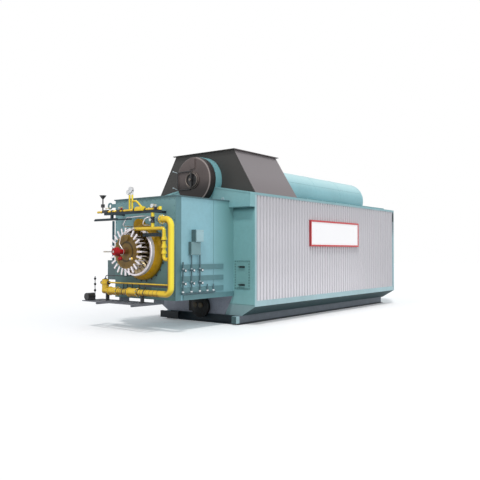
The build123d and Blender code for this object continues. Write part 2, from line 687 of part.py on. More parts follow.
under_roof = prism_y([(-low_half - 9, 0), (low_half + 9, 0), (low_half + 9, roof_z(low_half + 9)),
                      (0, ridge_z), (-low_half - 9, roof_z(low_half + 9))], -1, CASING_LENGTH)
drum_tunnel = rod((0, -CASING_LENGTH, drum_z), (0, CASING_LENGTH, drum_z), LAGGING_R + FIT_GAP)
hopper = duct(0, 0) - duct(HOPPER_WALL, 1) - under_roof - drum_tunnel
rim_rear = hopper_rear - HOPPER_REAR_LEAN
rim = block(-hopper_top_half - OUTLET_FLANGE, hopper_top_half + OUTLET_FLANGE, HOPPER_FRONT - OUTLET_FLANGE,
            rim_rear + OUTLET_FLANGE, hopper_top, hopper_top + OUTLET_FLANGE_PLATE)
rim -= block(-hopper_top_half + HOPPER_WALL, hopper_top_half - HOPPER_WALL, HOPPER_FRONT + HOPPER_WALL,
             rim_rear - HOPPER_WALL, hopper_top - 1, hopper_top + OUTLET_FLANGE_PLATE + 1)
bolt_x = hopper_top_half + OUTLET_FLANGE / 2
bolt_y0 = HOPPER_FRONT - OUTLET_FLANGE / 2
bolt_y1 = rim_rear + OUTLET_FLANGE / 2
holes = [(x, y) for x in (-bolt_x, -bolt_x / 3, bolt_x / 3, bolt_x) for y in (bolt_y0, bolt_y1)]
holes += [(-bolt_x, (bolt_y0 + bolt_y1) / 2), (bolt_x, (bolt_y0 + bolt_y1) / 2)]
for x, y in holes:
    rim -= rod((x, y, hopper_top - 1), (x, y, hopper_top + OUTLET_FLANGE_PLATE + 1), FLANGE_BOLT_R)
write("hopper_flange", rim)
hatch_x1 = -LAGGING_R * 0.8
hatch_x0 = hatch_x1 - HATCH_WIDE
hatch_z0 = roof_z(LAGGING_R + HATCH_WIDE) + 110
hatch_z1 = hatch_z0 + HATCH_HIGH
hatch = block(hatch_x0, hatch_x1, HOPPER_FRONT - HATCH_PLATE, HOPPER_FRONT, hatch_z0, hatch_z1) - drum_tunnel
hatch -= block(hatch_x0 + HATCH_FRAME, hatch_x1 + 1, HOPPER_FRONT - HATCH_PLATE,
               HOPPER_FRONT - HATCH_PLATE / 2, hatch_z0 + HATCH_FRAME, hatch_z1 - HATCH_FRAME)
write("outlet_hopper", hopper + hatch)

# Skid: two long rails, end beams and cross beams
half_rail = RAIL_WIDE / 2
half_web = RAIL_WEB / 2
rail_top = SKID_HEIGHT - RAIL_FLANGE
rail_section = [(-half_rail, 0), (half_rail, 0), (half_rail, RAIL_FLANGE), (half_web, RAIL_FLANGE),
                (half_web, rail_top), (half_rail, rail_top), (half_rail, SKID_HEIGHT),
                (-half_rail, SKID_HEIGHT), (-half_rail, rail_top), (-half_web, rail_top),
                (-half_web, RAIL_FLANGE), (-half_rail, RAIL_FLANGE)]
rail = Pos(rail_outer - half_rail, 0, 0) * prism_y(rail_section, beam_front, CASING_LENGTH)
write("skid_rail_right", rail)
write("skid_rail_left", mirrored(rail))
inner_half = rail_outer - RAIL_WIDE
web_y = -beam_front - RAIL_WEB
channel_section = [(beam_front, 0), (-beam_front, 0), (-beam_front, SKID_HEIGHT), (beam_front, SKID_HEIGHT),
                   (beam_front, rail_top), (web_y, rail_top), (web_y, RAIL_FLANGE), (beam_front, RAIL_FLANGE)]
beam = prism_x(channel_section, -inner_half, inner_half)
rear_beam = Pos(0, CASING_LENGTH + beam_front, 0) * (Rot(0, 0, 180) * beam)
cross_step = CASING_LENGTH / (CROSS_COUNT + 1)
write("skid_cross_beams", *[Pos(0, cross_step * (i + 1), 0) * beam for i in range(CROSS_COUNT)])
write("skid_rear_beam", rear_beam)
block_x = -rail_outer - LEFT_BLOCK_OUT
block_y = beam_front - BRACKET_DEEP - SEAT_GAP
left_block = block(block_x, block_x + LEFT_BLOCK_WIDE, block_y - LEFT_BLOCK_DEEP, block_y,
                   LEFT_BLOCK_FOOT, SKID_HEIGHT)
write("skid_front_beam", beam, left_block)
write_pair("skid_end_plates", block(inner_half, rail_outer, beam_front - BRACKET_DEEP, beam_front,
                                    BRACKET_FOOT, SKID_HEIGHT - BRACKET_STEP))

# Burner: the round scroll with its lobe, and the bright front ring it ends in
ring_out = RING_R + RING_TUBE
ring_back = ring_y + RING_DEEP
skirt_y = wind_y - SCROLL_SKIRT
bulge_mid = ((SCROLL_R + ring_out) / 2 + SCROLL_BULGE, (skirt_y + ring_back) / 2)
scroll = turned_face([Line((throat_r, wind_y), (SCROLL_R, wind_y)),
                      Line((SCROLL_R, wind_y), (SCROLL_R, skirt_y)),
                      ThreePointArc((SCROLL_R, skirt_y), bulge_mid, (ring_out, ring_back)),
                      Line((ring_out, ring_back), (throat_r, ring_back)),
                      Line((throat_r, ring_back), (throat_r, wind_y))], burner_z)
lobe_z = burner_z + SCROLL_LOBE_RISE
lobe = rod((SCROLL_LOBE_X, wind_y, lobe_z), (SCROLL_LOBE_X, wind_y - SCROLL_LOBE_DEEP, lobe_z), SCROLL_LOBE_R)
write("burner_scroll", scroll + (lobe - rod((0, wind_y + 1, burner_z), (0, ring_y, burner_z), ring_out)))
chamfer = RING_TUBE / 2
front_ring = turned([(throat_r, ring_y - RING_TUBE), (ring_out - chamfer, ring_y - RING_TUBE),
                     (ring_out, ring_y - RING_TUBE + chamfer), (ring_out, ring_back), (throat_r, ring_back)],
                    burner_z)
write("burner_front_ring", front_ring)

# Hub from its back disc to its round face plate, with the boss for the gun and a round port
face_y = ring_y - FACE_STANDOFF
plate_y = face_y - FACE_PLATE
hub_front = plate_y - BOSS_LONG
back_y = ring_y + VANE_DEPTH + 20
disc_r = throat_r - SEAT_GAP
hub = turned([(0, hub_front), (BOSS_R, hub_front), (BOSS_R, plate_y), (FACE_R, plate_y), (FACE_R, face_y),
              (HUB_R, face_y), (HUB_R, back_y), (disc_r, back_y), (disc_r, back_y + 16), (HUB_R, back_y + 16),
              (HUB_R, throat_y - 50), (0, throat_y - 50)], burner_z)
port_z = burner_z + PORT_RISE
hub += rod((PORT_X, plate_y, port_z), (PORT_X, plate_y - PORT_DEEP, port_z), PORT_R)
write("burner_hub", hub)
vane_in = HUB_R + SEAT_GAP
vane_out = throat_r - 8
vane_mid_y = ring_y + VANE_DEPTH / 2
blades = []
for i in range(VANE_COUNT):
    blade = Rot(0, 0, VANE_PITCH) * Box(VANE_PLATE, VANE_DEPTH, vane_out - vane_in)
    blade = Pos(0, vane_mid_y, (vane_in + vane_out) / 2) * blade
    blades.append(Pos(0, 0, burner_z) * (Rot(0, 360.0 * i / VANE_COUNT, 0) * blade))
write("register_vanes", *blades)

# Gas canes: bars along the face plate's rim, each with a blade that points outwards at its front;
# the branch pipe's nozzle takes the first place beside the top
cane_foot = ring_y - CANE_SHORT
cane_y = ring_y - CANE_REACH
cane_r = FACE_R + SEAT_GAP + CANE_PIPE_R
canes = []
for i in range(2, CANE_COUNT + 1):
    cane = block(-CANE_WIDE / 2, CANE_WIDE / 2, cane_y - CANE_THICK / 2, cane_y + CANE_THICK / 2,
                 FACE_R + SEAT_GAP, CANE_OUTER)
    cane += rod((0, cane_foot, cane_r), (0, cane_y, cane_r), CANE_PIPE_R)
    canes.append(Pos(0, 0, burner_z) * (Rot(0, 360.0 * i / CANE_COUNT, 0) * cane))

# Bent gas tubes: one from the branch pipe to the hub, two that bow out from the windbox
tube_y = hub_front + BOSS_LONG / 4
branch_side_y = train_y - BRANCH_PIPE_R - SEAT_GAP
tube_x, tube_rise = TUBE_TO_HUB[0]
last_x, last_rise = TUBE_TO_HUB[-1]
seat_share = (BOSS_R + SEAT_GAP) / sqrt(last_x ** 2 + last_rise ** 2)
hub_tube = [(tube_x, branch_side_y, burner_z + tube_rise)]
hub_tube += [(x, tube_y, burner_z + rise) for x, rise in TUBE_TO_HUB]
hub_tube.append((last_x * seat_share, tube_y, burner_z + last_rise * seat_share))
canes.append(pipe(hub_tube, GAS_TUBE_R, 36))
foot_y = wind_y - SEAT_GAP
over_y = train_y + half_channel + GAS_TUBE_R * 2.5
for bow, bow_y in ((TUBE_OVER_SCROLL, over_y), (TUBE_BESIDE_SCROLL, train_y)):
    tube = [(x, bow_y, burner_z + rise) for x, rise in bow]
    tube.insert(0, (bow[0][0], foot_y, burner_z + bow[0][1]))
    tube.append((bow[-1][0], foot_y, burner_z + bow[-1][1]))
    canes.append(pipe(tube, GAS_TUBE_R, 70))
write("gas_canes", *canes)

# Burner gun on the hub, with its bell and its pin
gun_front = hub_front - GUN_LONG
gun = rod((0, hub_front, burner_z), (0, gun_front, burner_z), GUN_R)
gun += cone((0, gun_front + 110, burner_z), (0, gun_front, burner_z), GUN_BELL_R, GUN_BELL_R * 0.7)
write("burner_gun", gun)
write("gun_pin", rod((0, gun_front, burner_z), (0, gun_front - PIN_LONG, burner_z), PIN_R))

# Main gas line: low run with its valves, riser and inlet bend to the windbox
riser_join = main_x - MAIN_BEND * 2
left_x = -MAIN_LEFT
inlet_x = main_x - MAIN_BEND * 1.7
write("gas_riser", pipe([(riser_join, train_y, main_low_z), (main_x, train_y, main_low_z),
                         (main_x, train_y, main_top_z), (inlet_x, train_y, main_top_z)],
                        MAIN_PIPE_R, MAIN_BEND))
inlet_start = inlet_x - PIPE_FLANGE_PLATE
write("gas_inlet_flange", rod((inlet_start, train_y, main_top_z), (inlet_x, train_y, main_top_z),
                              PIPE_FLANGE_R))
inlet_end = inlet_start - INLET_RUN
write("gas_inlet_bend", pipe([(inlet_start, train_y, main_top_z), (inlet_end, train_y, main_top_z),
                              (inlet_end, wind_y, main_top_z)], INLET_R, INLET_R * 1.5))


def sleeve(x0, x1, radius):
    """A round collar on the low gas pipe."""
    outer = rod((x0, train_y, main_low_z), (x1, train_y, main_low_z), radius)
    return outer - rod((x0 - 1, train_y, main_low_z), (x1 + 1, train_y, main_low_z), MAIN_PIPE_R)


valves = []
for start, long in zip(VALVE_STARTS, VALVE_LONGS):
    x0 = left_x + start
    x1 = x0 + long
    valve = sleeve(x0, x0 + PIPE_FLANGE_PLATE, PIPE_FLANGE_R)
    valve += sleeve(x1 - PIPE_FLANGE_PLATE, x1, PIPE_FLANGE_R)
    valves.append(valve + sleeve(x0 + PIPE_FLANGE_PLATE, x1 - PIPE_FLANGE_PLATE, VALVE_BODY_R))
write("main_pipe_flanges", *valves)

# Shut-off actuator standing on the low pipe's left end, with a thin pipe from it to the riser
actuator_x = left_x + ACTUATOR_R * 0.6
actuator_top = main_low_z + ACTUATOR_HIGH
rim_z = main_low_z + ACTUATOR_HIGH * 0.7
low_pipe = rod((left_x, train_y, main_low_z), (riser_join, train_y, main_low_z), MAIN_PIPE_R)
low_pipe += rod((actuator_x, train_y, main_low_z), (actuator_x, train_y, actuator_top), ACTUATOR_R)
low_pipe += rod((actuator_x, train_y, rim_z - 25), (actuator_x, train_y, rim_z + 25), ACTUATOR_RIM_R)
knobs = []
for side in (-1, 1):
    knob_x = actuator_x + side * (ACTUATOR_RIM_R + SEAT_GAP)
    knobs.append(rod((knob_x, train_y, rim_z), (knob_x + side * KNOB_LONG, train_y, rim_z), KNOB_R))
thin_z = main_low_z + THIN_PIPE_RISE
thin_x0 = actuator_x + ACTUATOR_RIM_R + KNOB_LONG + 2 * SEAT_GAP
thin_x1 = main_x - MAIN_PIPE_R - SEAT_GAP
write("low_gas_pipe", low_pipe, rod((thin_x0, train_y, thin_z), (thin_x1, train_y, thin_z), THIN_PIPE_R))
bar_top = thin_z - THIN_PIPE_R - SEAT_GAP
riser_bar = block(thin_x1 - BAR_LONG, thin_x1 - 4, train_y - THIN_PIPE_R, train_y + THIN_PIPE_R,
                  bar_top - BAR_HIGH, bar_top)

# Damper motor on the tray
motor_x = -TRAY_LEFT + MOTOR_R + 26
motor_y = tray_front + 150
motor_z = tray_z + MOTOR_R
motor = rod((motor_x, motor_y - MOTOR_LONG / 2, motor_z), (motor_x, motor_y + MOTOR_LONG / 2, motor_z),
            MOTOR_R)
motor += block(motor_x - MOTOR_R * 0.75, motor_x + MOTOR_R * 0.75, motor_y - MOTOR_R, motor_y + MOTOR_R,
               tray_z, motor_z)

# Branch pipe from the riser to the burner, with conical fittings, a nozzle and a drop to the pilot line
branch_end = BRANCH_LEFT
branch = pipe([(main_x - MAIN_PIPE_R - SEAT_GAP, train_y, branch_low_z), (branch_x, train_y, branch_low_z),
               (branch_x, train_y, branch_top_z), (branch_end, train_y, branch_top_z)],
              BRANCH_PIPE_R, BRANCH_BEND)
for share in (0.27, 0.46, 0.71):
    cone_z = branch_low_z + (branch_top_z - branch_low_z) * share
    branch += cone((branch_x, train_y, cone_z - 60), (branch_x, train_y, cone_z + 30),
                   CONE_R, BRANCH_PIPE_R + 4)
nozzle_x = branch_end + BRANCH_PIPE_R
branch += rod((nozzle_x, train_y, branch_top_z), (nozzle_x, ring_y - RING_TUBE - SEAT_GAP, branch_top_z),
              BRANCH_PIPE_R * 0.7)
drop_x = windbox_half - DROP_INSET
branch += rod((drop_x, train_y, branch_top_z), (drop_x, train_y, channel_low - SEAT_GAP), DROP_R)
write("branch_gas_pipe", branch)

# Pilot gas line with its regulator and gauge stems, lying on a black channel and held by saddles
gauge_y = train_y
gauge_z = pilot_z + GAUGE_RISE
gauge_x = windbox_half * GAUGE_SHARE
bend_z = gauge_z - 285
stem_top = gauge_z - STEM_SHORT
pilot = rod((-pilot_left, train_y, pilot_z), (pilot_right, train_y, pilot_z), PILOT_PIPE_R)
for stem_x in (gauge_x - STEM_SPREAD, gauge_x + STEM_SPREAD):
    pilot += rod((stem_x, gauge_y, pilot_z), (stem_x, gauge_y, stem_top), STEM_R)
regulator_x = windbox_half * REGULATOR_SHARE
regulator_x0 = regulator_x - windbox_half * REGULATOR_LONG_SHARE / 2
regulator_x1 = regulator_x + windbox_half * REGULATOR_LONG_SHARE / 2
regulator = rod((regulator_x0, train_y, pilot_z), (regulator_x1, train_y, pilot_z), REGULATOR_R)
pilot += regulator - block(regulator_x0 - 1, regulator_x1 + 1, train_y - REGULATOR_R, train_y + REGULATOR_R,
                           0, channel_top)
turn_x = (gauge_x + STEM_SPREAD + regulator_x) / 2
pilot += pipe([(gauge_x + STEM_SPREAD, gauge_y, bend_z), (turn_x, gauge_y, bend_z),
               (regulator_x + REGULATOR_R, gauge_y, pilot_z + REGULATOR_R / 2)], STEM_R, 70)
pilot += rod((pilot_right, train_y, channel_top + SEAT_GAP), (pilot_right, train_y, pilot_z + ELBOW_RISE),
             ELBOW_R)
write("pilot_gas_pipe", pilot)
channel_y0 = train_y - half_channel
channel_y1 = train_y + half_channel
arm_x = windbox_half - ARM_INSET
davit_top = channel_low - DAVIT_DROP + half_channel
channel = block(-channel_left, channel_right, channel_y0, channel_y1, channel_low, channel_top)
channel += block(-windbox_half - DAVIT_OVER, -DAVIT_RIGHT, channel_y0, channel_y1,
                 davit_top - half_channel, davit_top)
channel += block(-arm_x - half_channel, -arm_x + half_channel, channel_y0, channel_y1, davit_top, channel_low)
write("pilot_channel", channel)
write_pair("channel_arms", block(arm_x - half_channel, arm_x + half_channel, channel_y1, wind_y,
                                 channel_low, channel_top))
saddles = []
half_saddle = windbox_half * SADDLE_WIDE_SHARE / 2
for share in SADDLE_SHARES:
    x = windbox_half * share
    saddle = rod((x - half_saddle, train_y, pilot_z), (x + half_saddle, train_y, pilot_z), SADDLE_R)
    saddle -= rod((x - SADDLE_R, train_y, pilot_z), (x + SADDLE_R, train_y, pilot_z), PILOT_PIPE_R)
    saddles.append(saddle - block(x - SADDLE_R, x + SADDLE_R, train_y - SADDLE_R, train_y + SADDLE_R,
                                  0, channel_top))
write("pilot_saddles", *saddles)

# Black fittings of the gas train
bodies = []
for share, long_share, radius in PILOT_BODIES:
    x = windbox_half * share
    length = windbox_half * long_share
    body = rod((x - length / 2, train_y, pilot_z), (x + length / 2, train_y, pilot_z), radius)
    body -= rod((x - length, train_y, pilot_z), (x + length, train_y, pilot_z), PILOT_PIPE_R)
    bodies.append(body - block(x - length, x + length, train_y - radius, train_y + radius, 0, channel_top))
vent_x = windbox_half * VENT_SHARE
vent_top = pilot_z + VENT_RISE
vent = rod((vent_x, train_y, pilot_z + PILOT_PIPE_R + SEAT_GAP), (vent_x, train_y, vent_top), VENT_R)
vent += rod((vent_x, train_y, pilot_z + 120), (vent_x, train_y, pilot_z + 200), VENT_R * 3)
vent += cone((vent_x, train_y, vent_top - 30), (vent_x, train_y, vent_top + 60), VENT_R * 1.6, VENT_R * 5.7)
write("train_fittings", riser_bar, motor, vent, *knobs, *bodies)


def gauge_body(x, z, radius):
    """A round gauge facing the front."""
    return rod((x, gauge_y - GAUGE_THICK / 2, z), (x, gauge_y + GAUGE_THICK / 2, z), radius)


low_gauge_z = gauge_z - GAUGE_R * 0.8
gauge = gauge_body(gauge_x, gauge_z, GAUGE_R)
gauge += gauge_body(gauge_x - GAUGE_R * 1.2, low_gauge_z, GAUGE_R * 0.8)
for stem_x, top in ((gauge_x - STEM_SPREAD, low_gauge_z), (gauge_x + STEM_SPREAD, gauge_z)):
    gauge += rod((stem_x, gauge_y, stem_top + SEAT_GAP), (stem_x, gauge_y, top), STEM_R * 0.8)
small_gauge = gauge_body(windbox_half * SMALL_GAUGE_SHARE, pilot_z + PILOT_PIPE_R + SMALL_GAUGE_R + SEAT_GAP,
                         SMALL_GAUGE_R)
write("pressure_gauges", gauge, small_gauge)

# Tray under the low pipe, its bearers and the pipe's posts
tray = block(-TRAY_LEFT, TRAY_RIGHT, tray_front, tray_back, tray_z - TRAY_THICK, tray_z)
slot_step = (TRAY_LEFT + TRAY_RIGHT - 120) / TRAY_SLOTS
for i in range(TRAY_SLOTS):
    slot_x = -TRAY_LEFT + 60 + (i + 0.5) * slot_step
    for share in (0.27, 0.73):
        slot_y = tray_front + TRAY_DEPTH * share
        slot = Box(slot_step - 60, TRAY_DEPTH * 0.46 - 50, TRAY_THICK + 2)
        tray -= Pos(slot_x, slot_y, tray_z - TRAY_THICK / 2) * slot
write("train_tray", tray)
bearers = []
posts = []
slab_z = tray_z - TRAY_THICK
for i in (2, TRAY_SLOTS - 1):
    post_x = -TRAY_LEFT + 60 + i * slot_step
    post_x0 = post_x - POST_HALF
    post_x1 = post_x + POST_HALF
    seat_y = wind_y + BEARER_SEAT
    bearer = block(post_x0, post_x1, tray_front, seat_y, slab_z - BEARER_HIGH, slab_z)
    bearer += block(post_x0, post_x1, wind_y, seat_y, slab_z, WINDBOX_BOTTOM)
    bearers.append(bearer)
    post = block(post_x0, post_x1, train_y - 40, train_y + 40, tray_z, main_low_z)
    pipe_room = rod((-TRAY_LEFT, train_y, main_low_z), (main_x, train_y, main_low_z), MAIN_PIPE_R + SEAT_GAP)
    posts.append(post - pipe_room)
write("tray_bearers", *bearers)
write("pipe_posts", *posts)

# Right side of the windbox: switch box, terminal box and drain pipes with their valves
box_low = WINDBOX_BOTTOM + SIDE_BOX_RISE
switch_y = wind_y + DRAIN_STARTS[1] - 57
switch = block(windbox_half, windbox_half + SWITCH_BOX[0], switch_y, switch_y + SWITCH_BOX[1],
               box_low, box_low + SWITCH_BOX[2])
terminal_low = box_low + SWITCH_BOX[2] + SEAT_GAP
terminal_y = switch_y + 107
terminal = block(windbox_half, windbox_half + TERMINAL_BOX[0], terminal_y, terminal_y + TERMINAL_BOX[1],
                 terminal_low, terminal_low + TERMINAL_BOX[2])
left_y = wind_y + 30
left_low = WINDBOX_BOTTOM + LEFT_BOX_RISE
left_x1 = -windbox_half - FRAME_PLATE - SEAT_GAP
left_box = block(left_x1 - LEFT_BOX[0], left_x1, left_y, left_y + LEFT_BOX[1],
                 left_low, left_low + LEFT_BOX[2])
write("side_boxes", switch, terminal, left_box)
side_x = strut_x + SIDE_PIPE_R + SEAT_GAP
drain_z = WINDBOX_BOTTOM + DRAIN_RISE
drains = rod((side_x, wind_y + DRAIN_STARTS[0] - 40, drain_z),
             (side_x, wind_y + SHORT_STARTS[-1] + 60, drain_z), SIDE_PIPE_R * 1.3)
side_valves = []
for start in DRAIN_STARTS:
    y = wind_y + start
    top = box_low - SEAT_GAP if start > DRAIN_STARTS[0] else WINDBOX_BOTTOM + STRUT_RISES[-1] + STRUT_HIGH
    drains += rod((side_x, y, drain_z), (side_x, y, top), SIDE_PIPE_R)
    for rise in SIDE_VALVE_RISES:
        z = WINDBOX_BOTTOM + rise
        body = rod((side_x, y, z - SIDE_VALVE_HALF), (side_x, y, z + SIDE_VALVE_HALF), SIDE_VALVE_R)
        knob_x = side_x + SIDE_KNOB_REACH
        body += rod((side_x, y, z), (knob_x, y, z), SIDE_VALVE_HALF * 0.7)
        body += rod((knob_x - SIDE_KNOB_PLATE, y, z), (knob_x, y, z), SIDE_KNOB_R)
        side_valves.append(body - rod((side_x, y, z - 60), (side_x, y, z + 60), SIDE_PIPE_R))
for start in SHORT_STARTS:
    drains += rod((side_x, wind_y + start, drain_z), (side_x, wind_y + start, drain_z + SHORT_HIGH),
                  SIDE_PIPE_R)
conduit_x = -windbox_half - EYE_REACH
conduit = rod((conduit_x, left_y + 90, left_low + LEFT_BOX[2] + SEAT_GAP),
              (conduit_x, left_y + 90, windbox_top - LEFT_CONDUIT_DROP), LEFT_CONDUIT_R)
write("side_pipes", drains, conduit, *side_valves)

# Sign board: white panel in a red frame, on the rib crests
sign_end = SIGN_START + SIGN_LENGTH
sign_top = SIGN_LOW + SIGN_HEIGHT
sign = block(crest_x, crest_x + SIGN_DEPTH, SIGN_START, sign_end, SIGN_LOW, sign_top)
inside = [SIGN_START + SIGN_EDGE, sign_end - SIGN_EDGE, SIGN_LOW + SIGN_EDGE, sign_top - SIGN_EDGE]
write("sign_frame", sign - block(crest_x - 1, crest_x + SIGN_DEPTH + 1, *inside))
write("sign_panel", block(crest_x, crest_x + SIGN_DEPTH - SIGN_RECESS, *inside))
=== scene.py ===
"""Studio scene of the skid-mounted watertube boiler: its finishes, fastenings, small fittings, floor,
light and camera.

Metres, in the model's own frame: +Y from the front wall to the rear, +X to the side with the sign board,
+Z up.
"""
import json
import math
import bpy
import numpy as np
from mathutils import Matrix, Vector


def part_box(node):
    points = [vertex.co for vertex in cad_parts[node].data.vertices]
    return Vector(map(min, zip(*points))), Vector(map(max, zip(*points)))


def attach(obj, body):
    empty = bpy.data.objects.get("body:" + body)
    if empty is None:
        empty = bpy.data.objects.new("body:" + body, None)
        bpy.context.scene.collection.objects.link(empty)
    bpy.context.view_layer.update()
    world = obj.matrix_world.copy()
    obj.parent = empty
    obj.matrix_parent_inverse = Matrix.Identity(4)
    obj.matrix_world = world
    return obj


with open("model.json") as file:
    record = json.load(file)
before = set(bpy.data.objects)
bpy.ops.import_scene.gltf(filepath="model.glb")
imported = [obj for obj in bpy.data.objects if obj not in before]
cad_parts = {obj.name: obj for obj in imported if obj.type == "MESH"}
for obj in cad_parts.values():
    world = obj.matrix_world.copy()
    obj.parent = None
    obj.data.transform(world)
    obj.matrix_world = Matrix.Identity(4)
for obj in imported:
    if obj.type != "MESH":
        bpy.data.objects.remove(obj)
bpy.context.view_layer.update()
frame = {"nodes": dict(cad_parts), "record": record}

FRONT = (0.0, -1.0, 0.0)
REAR = (0.0, 1.0, 0.0)
RIGHT = (1.0, 0.0, 0.0)
UP = (0.0, 0.0, 1.0)
DOWN = (0.0, 0.0, -1.0)
SIDES = (-1.0, 1.0)


def middle_z(node):
    """The height of the middle of a node's box."""
    low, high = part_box(node)
    return (low[2] + high[2]) / 2


DRUM_Z = middle_z("drum_lagging")
BURNER_Z = middle_z("burner_front_ring")


# Shader maths.

def tone(red, green, blue):
    """A screen colour of 0 to 255 as linear light: c/12.92 below 0.04, else ((c + 0.055)/1.055)^2.4."""
    channels = np.array([red, green, blue]) / 255.0
    linear = np.where(channels <= 0.04045, channels / 12.92, ((channels + 0.055) / 1.055) ** 2.4)
    return tuple(float(v) for v in linear) + (1.0,)


class Amount:
    """One number that changes over a surface: a node's output, with Python's arithmetic."""

    def __init__(self, graph, socket):
        self.graph = graph
        self.socket = socket

    def _sum(self, operation, *terms):
        return self.graph.amount("ShaderNodeMath", {"operation": operation}, dict(enumerate(terms)))

    def __add__(self, other):
        return self._sum("ADD", self, other)

    __radd__ = __add__

    def __sub__(self, other):
        return self._sum("SUBTRACT", self, other)

    def __rsub__(self, other):
        return self._sum("SUBTRACT", other, self)

    def __mul__(self, other):
        return self._sum("MULTIPLY", self, other)

    __rmul__ = __mul__

    def __pow__(self, other):
        return self._sum("POWER", self, other)

    def __neg__(self):
        return self._sum("MULTIPLY", self, -1.0)

    def absolute(self):
        return self._sum("ABSOLUTE", self)

    def high(self, other):
        return self._sum("MAXIMUM", self, other)

    def between(self, low, high):
        """0 below low, 1 above high, and a smooth rise from one to the other."""
        settings = {"interpolation_type": "SMOOTHSTEP", "clamp": True}
        limits = {"Value": self, "From Min": low, "From Max": high}
        return self.graph.amount("ShaderNodeMapRange", settings, limits)


class Graph:
    """The shader nodes of a material or of the world, under construction."""

    def __init__(self, owner):
        owner.use_nodes = True
        self.tree = owner.node_tree
        self.tree.nodes.clear()

    def node(self, kind, settings=None, values=None):
        """A node of any kind: its settings come first, then the values or links of its sockets."""
        made = self.tree.nodes.new(kind)
        for key, value in (settings or {}).items():
            setattr(made, key, value)
        for key, value in (values or {}).items():
            self.plug(made.inputs[key], value)
        return made

    def plug(self, socket, value):
        if isinstance(value, Amount):
            self.tree.links.new(value.socket, socket)
        elif isinstance(value, bpy.types.NodeSocket):
            self.tree.links.new(value, socket)
        else:
            socket.default_value = value

    def amount(self, kind, settings=None, values=None, out=0):
        return Amount(self, self.node(kind, settings, values).outputs[out])

    def in_view(self):
        """1 for the camera's own rays, in reflections and through glass, and 0 for the light between
        surfaces."""
        rays = self.node("ShaderNodeLightPath").outputs
        mirrored = Amount(self, rays["Is Glossy Ray"]).high(rays["Is Transmission Ray"])
        return mirrored.high(rays["Is Camera Ray"])


class Finish(Graph):
    """A material under construction on one Principled shader."""

    def __init__(self, name):
        self.material = bpy.data.materials.new(name)
        super().__init__(self.material)
        self.shader = self.node("ShaderNodeBsdfPrincipled")
        self.node("ShaderNodeOutputMaterial", None, {0: self.shader.outputs[0]})
        self.place = None
        self.parts = None
        self.ways = None

    def spot(self):
        """The point's own coordinates in the piece, in metres."""
        if self.place is None:
            self.place = self.node("ShaderNodeTexCoord").outputs["Object"]
        return self.place

    def axes(self):
        """The spot's x, y and z, as three numbers."""
        if self.parts is None:
            split = self.node("ShaderNodeSeparateXYZ", None, {0: self.spot()})
            self.parts = [Amount(self, split.outputs[i]) for i in range(3)]
        return self.parts

    def facing(self):
        """The surface's own direction, as three numbers."""
        if self.ways is None:
            normal = self.node("ShaderNodeNewGeometry").outputs["Normal"]
            split = self.node("ShaderNodeSeparateXYZ", None, {0: normal})
            self.ways = [Amount(self, split.outputs[i]) for i in range(3)]
        return self.ways

    def measure(self, what):
        """A named amount at the point: a coordinate, how far the face looks one way, the distance from the
        boiler's middle plane, or the distance from the drum's or the burner's axis."""
        x, _, z = self.axes()
        if what in "xyz":
            return self.axes()["xyz".index(what)]
        if what == "front":
            return -self.facing()[1]
        if what == "right":
            return self.facing()[0]
        if what == "outward":
            return x.absolute()
        if what == "top":
            return self.facing()[2]
        centre = DRUM_Z if what == "from_drum_axis" else BURNER_Z
        return (x * x + (z - centre) ** 2.0) ** 0.5

    def zoned(self, tint, zones):
        """Tones laid over a colour one after another; in the finishes below, most zones paint light and shade
        into the colour.
        A zone is a tone, its share, and its limits: each limit is an amount's name and the two values between
        which the tone comes in."""
        for tone_over, share, limits in zones:
            cover = share
            for what, start, end in limits:
                cover = self.measure(what).between(start, end) * cover
            tint = self.blend(cover, tint, tone_over)
        return tint

    def cloud(self, scale, detail=3.0, rough=0.55, stretch=None):
        """Noise of that many turns per metre, from 0 to 1, stretched by a factor along each axis."""
        where = self.spot()
        if stretch is not None:
            where = self.node("ShaderNodeMapping", None, {"Vector": where, "Scale": stretch}).outputs[0]
        values = {"Vector": where, "Scale": scale, "Detail": detail, "Roughness": rough}
        return self.amount("ShaderNodeTexNoise", None, values)

    def worn_edge(self, radius=0.006):
        """1 on outer edges, 0 on flat faces: how far a rounded normal leans away from the face's own."""
        round_normal = self.node("ShaderNodeBevel", {"samples": 4}, {"Radius": radius}).outputs[0]
        flat_normal = self.node("ShaderNodeNewGeometry").outputs["True Normal"]
        both = {0: round_normal, 1: flat_normal}
        dot = self.node("ShaderNodeVectorMath", {"operation": "DOT_PRODUCT"}, both)
        return (1.0 - Amount(self, dot.outputs["Value"])).between(0.02, 0.2)

    def blend(self, factor, first, second):
        """Colour first where factor is 0 and second where it is 1."""
        mix = self.node("ShaderNodeMix", {"data_type": "RGBA"})
        self.plug(mix.inputs[0], factor)
        self.plug(mix.inputs[6], first)
        self.plug(mix.inputs[7], second)
        return mix.outputs[2]

    def relief(self, height, distance, strength, under=None):
        values = {"Height": height, "Distance": distance, "Strength": strength}
        if under is not None:
            values["Normal"] = under
        return self.node("ShaderNodeBump", None, values).outputs[0]

    def done(self, colour, roughness, normal, metal=0.0, coat=0.0, gleam=0.5):
        self.plug(self.shader.inputs["Base Color"], colour)
        self.plug(self.shader.inputs["Roughness"], roughness)
        self.plug(self.shader.inputs["Normal"], normal)
        self.shader.inputs["Metallic"].default_value = metal
        self.shader.inputs["Coat Weight"].default_value = coat
        self.shader.inputs["Specular IOR Level"].default_value = gleam
        return self.material


# Finishes.

def shaded(colour, share):
    """A colour made darker or lighter by a share."""
    return tuple(min(1.0, c * share) for c in colour[:3]) + (1.0,)


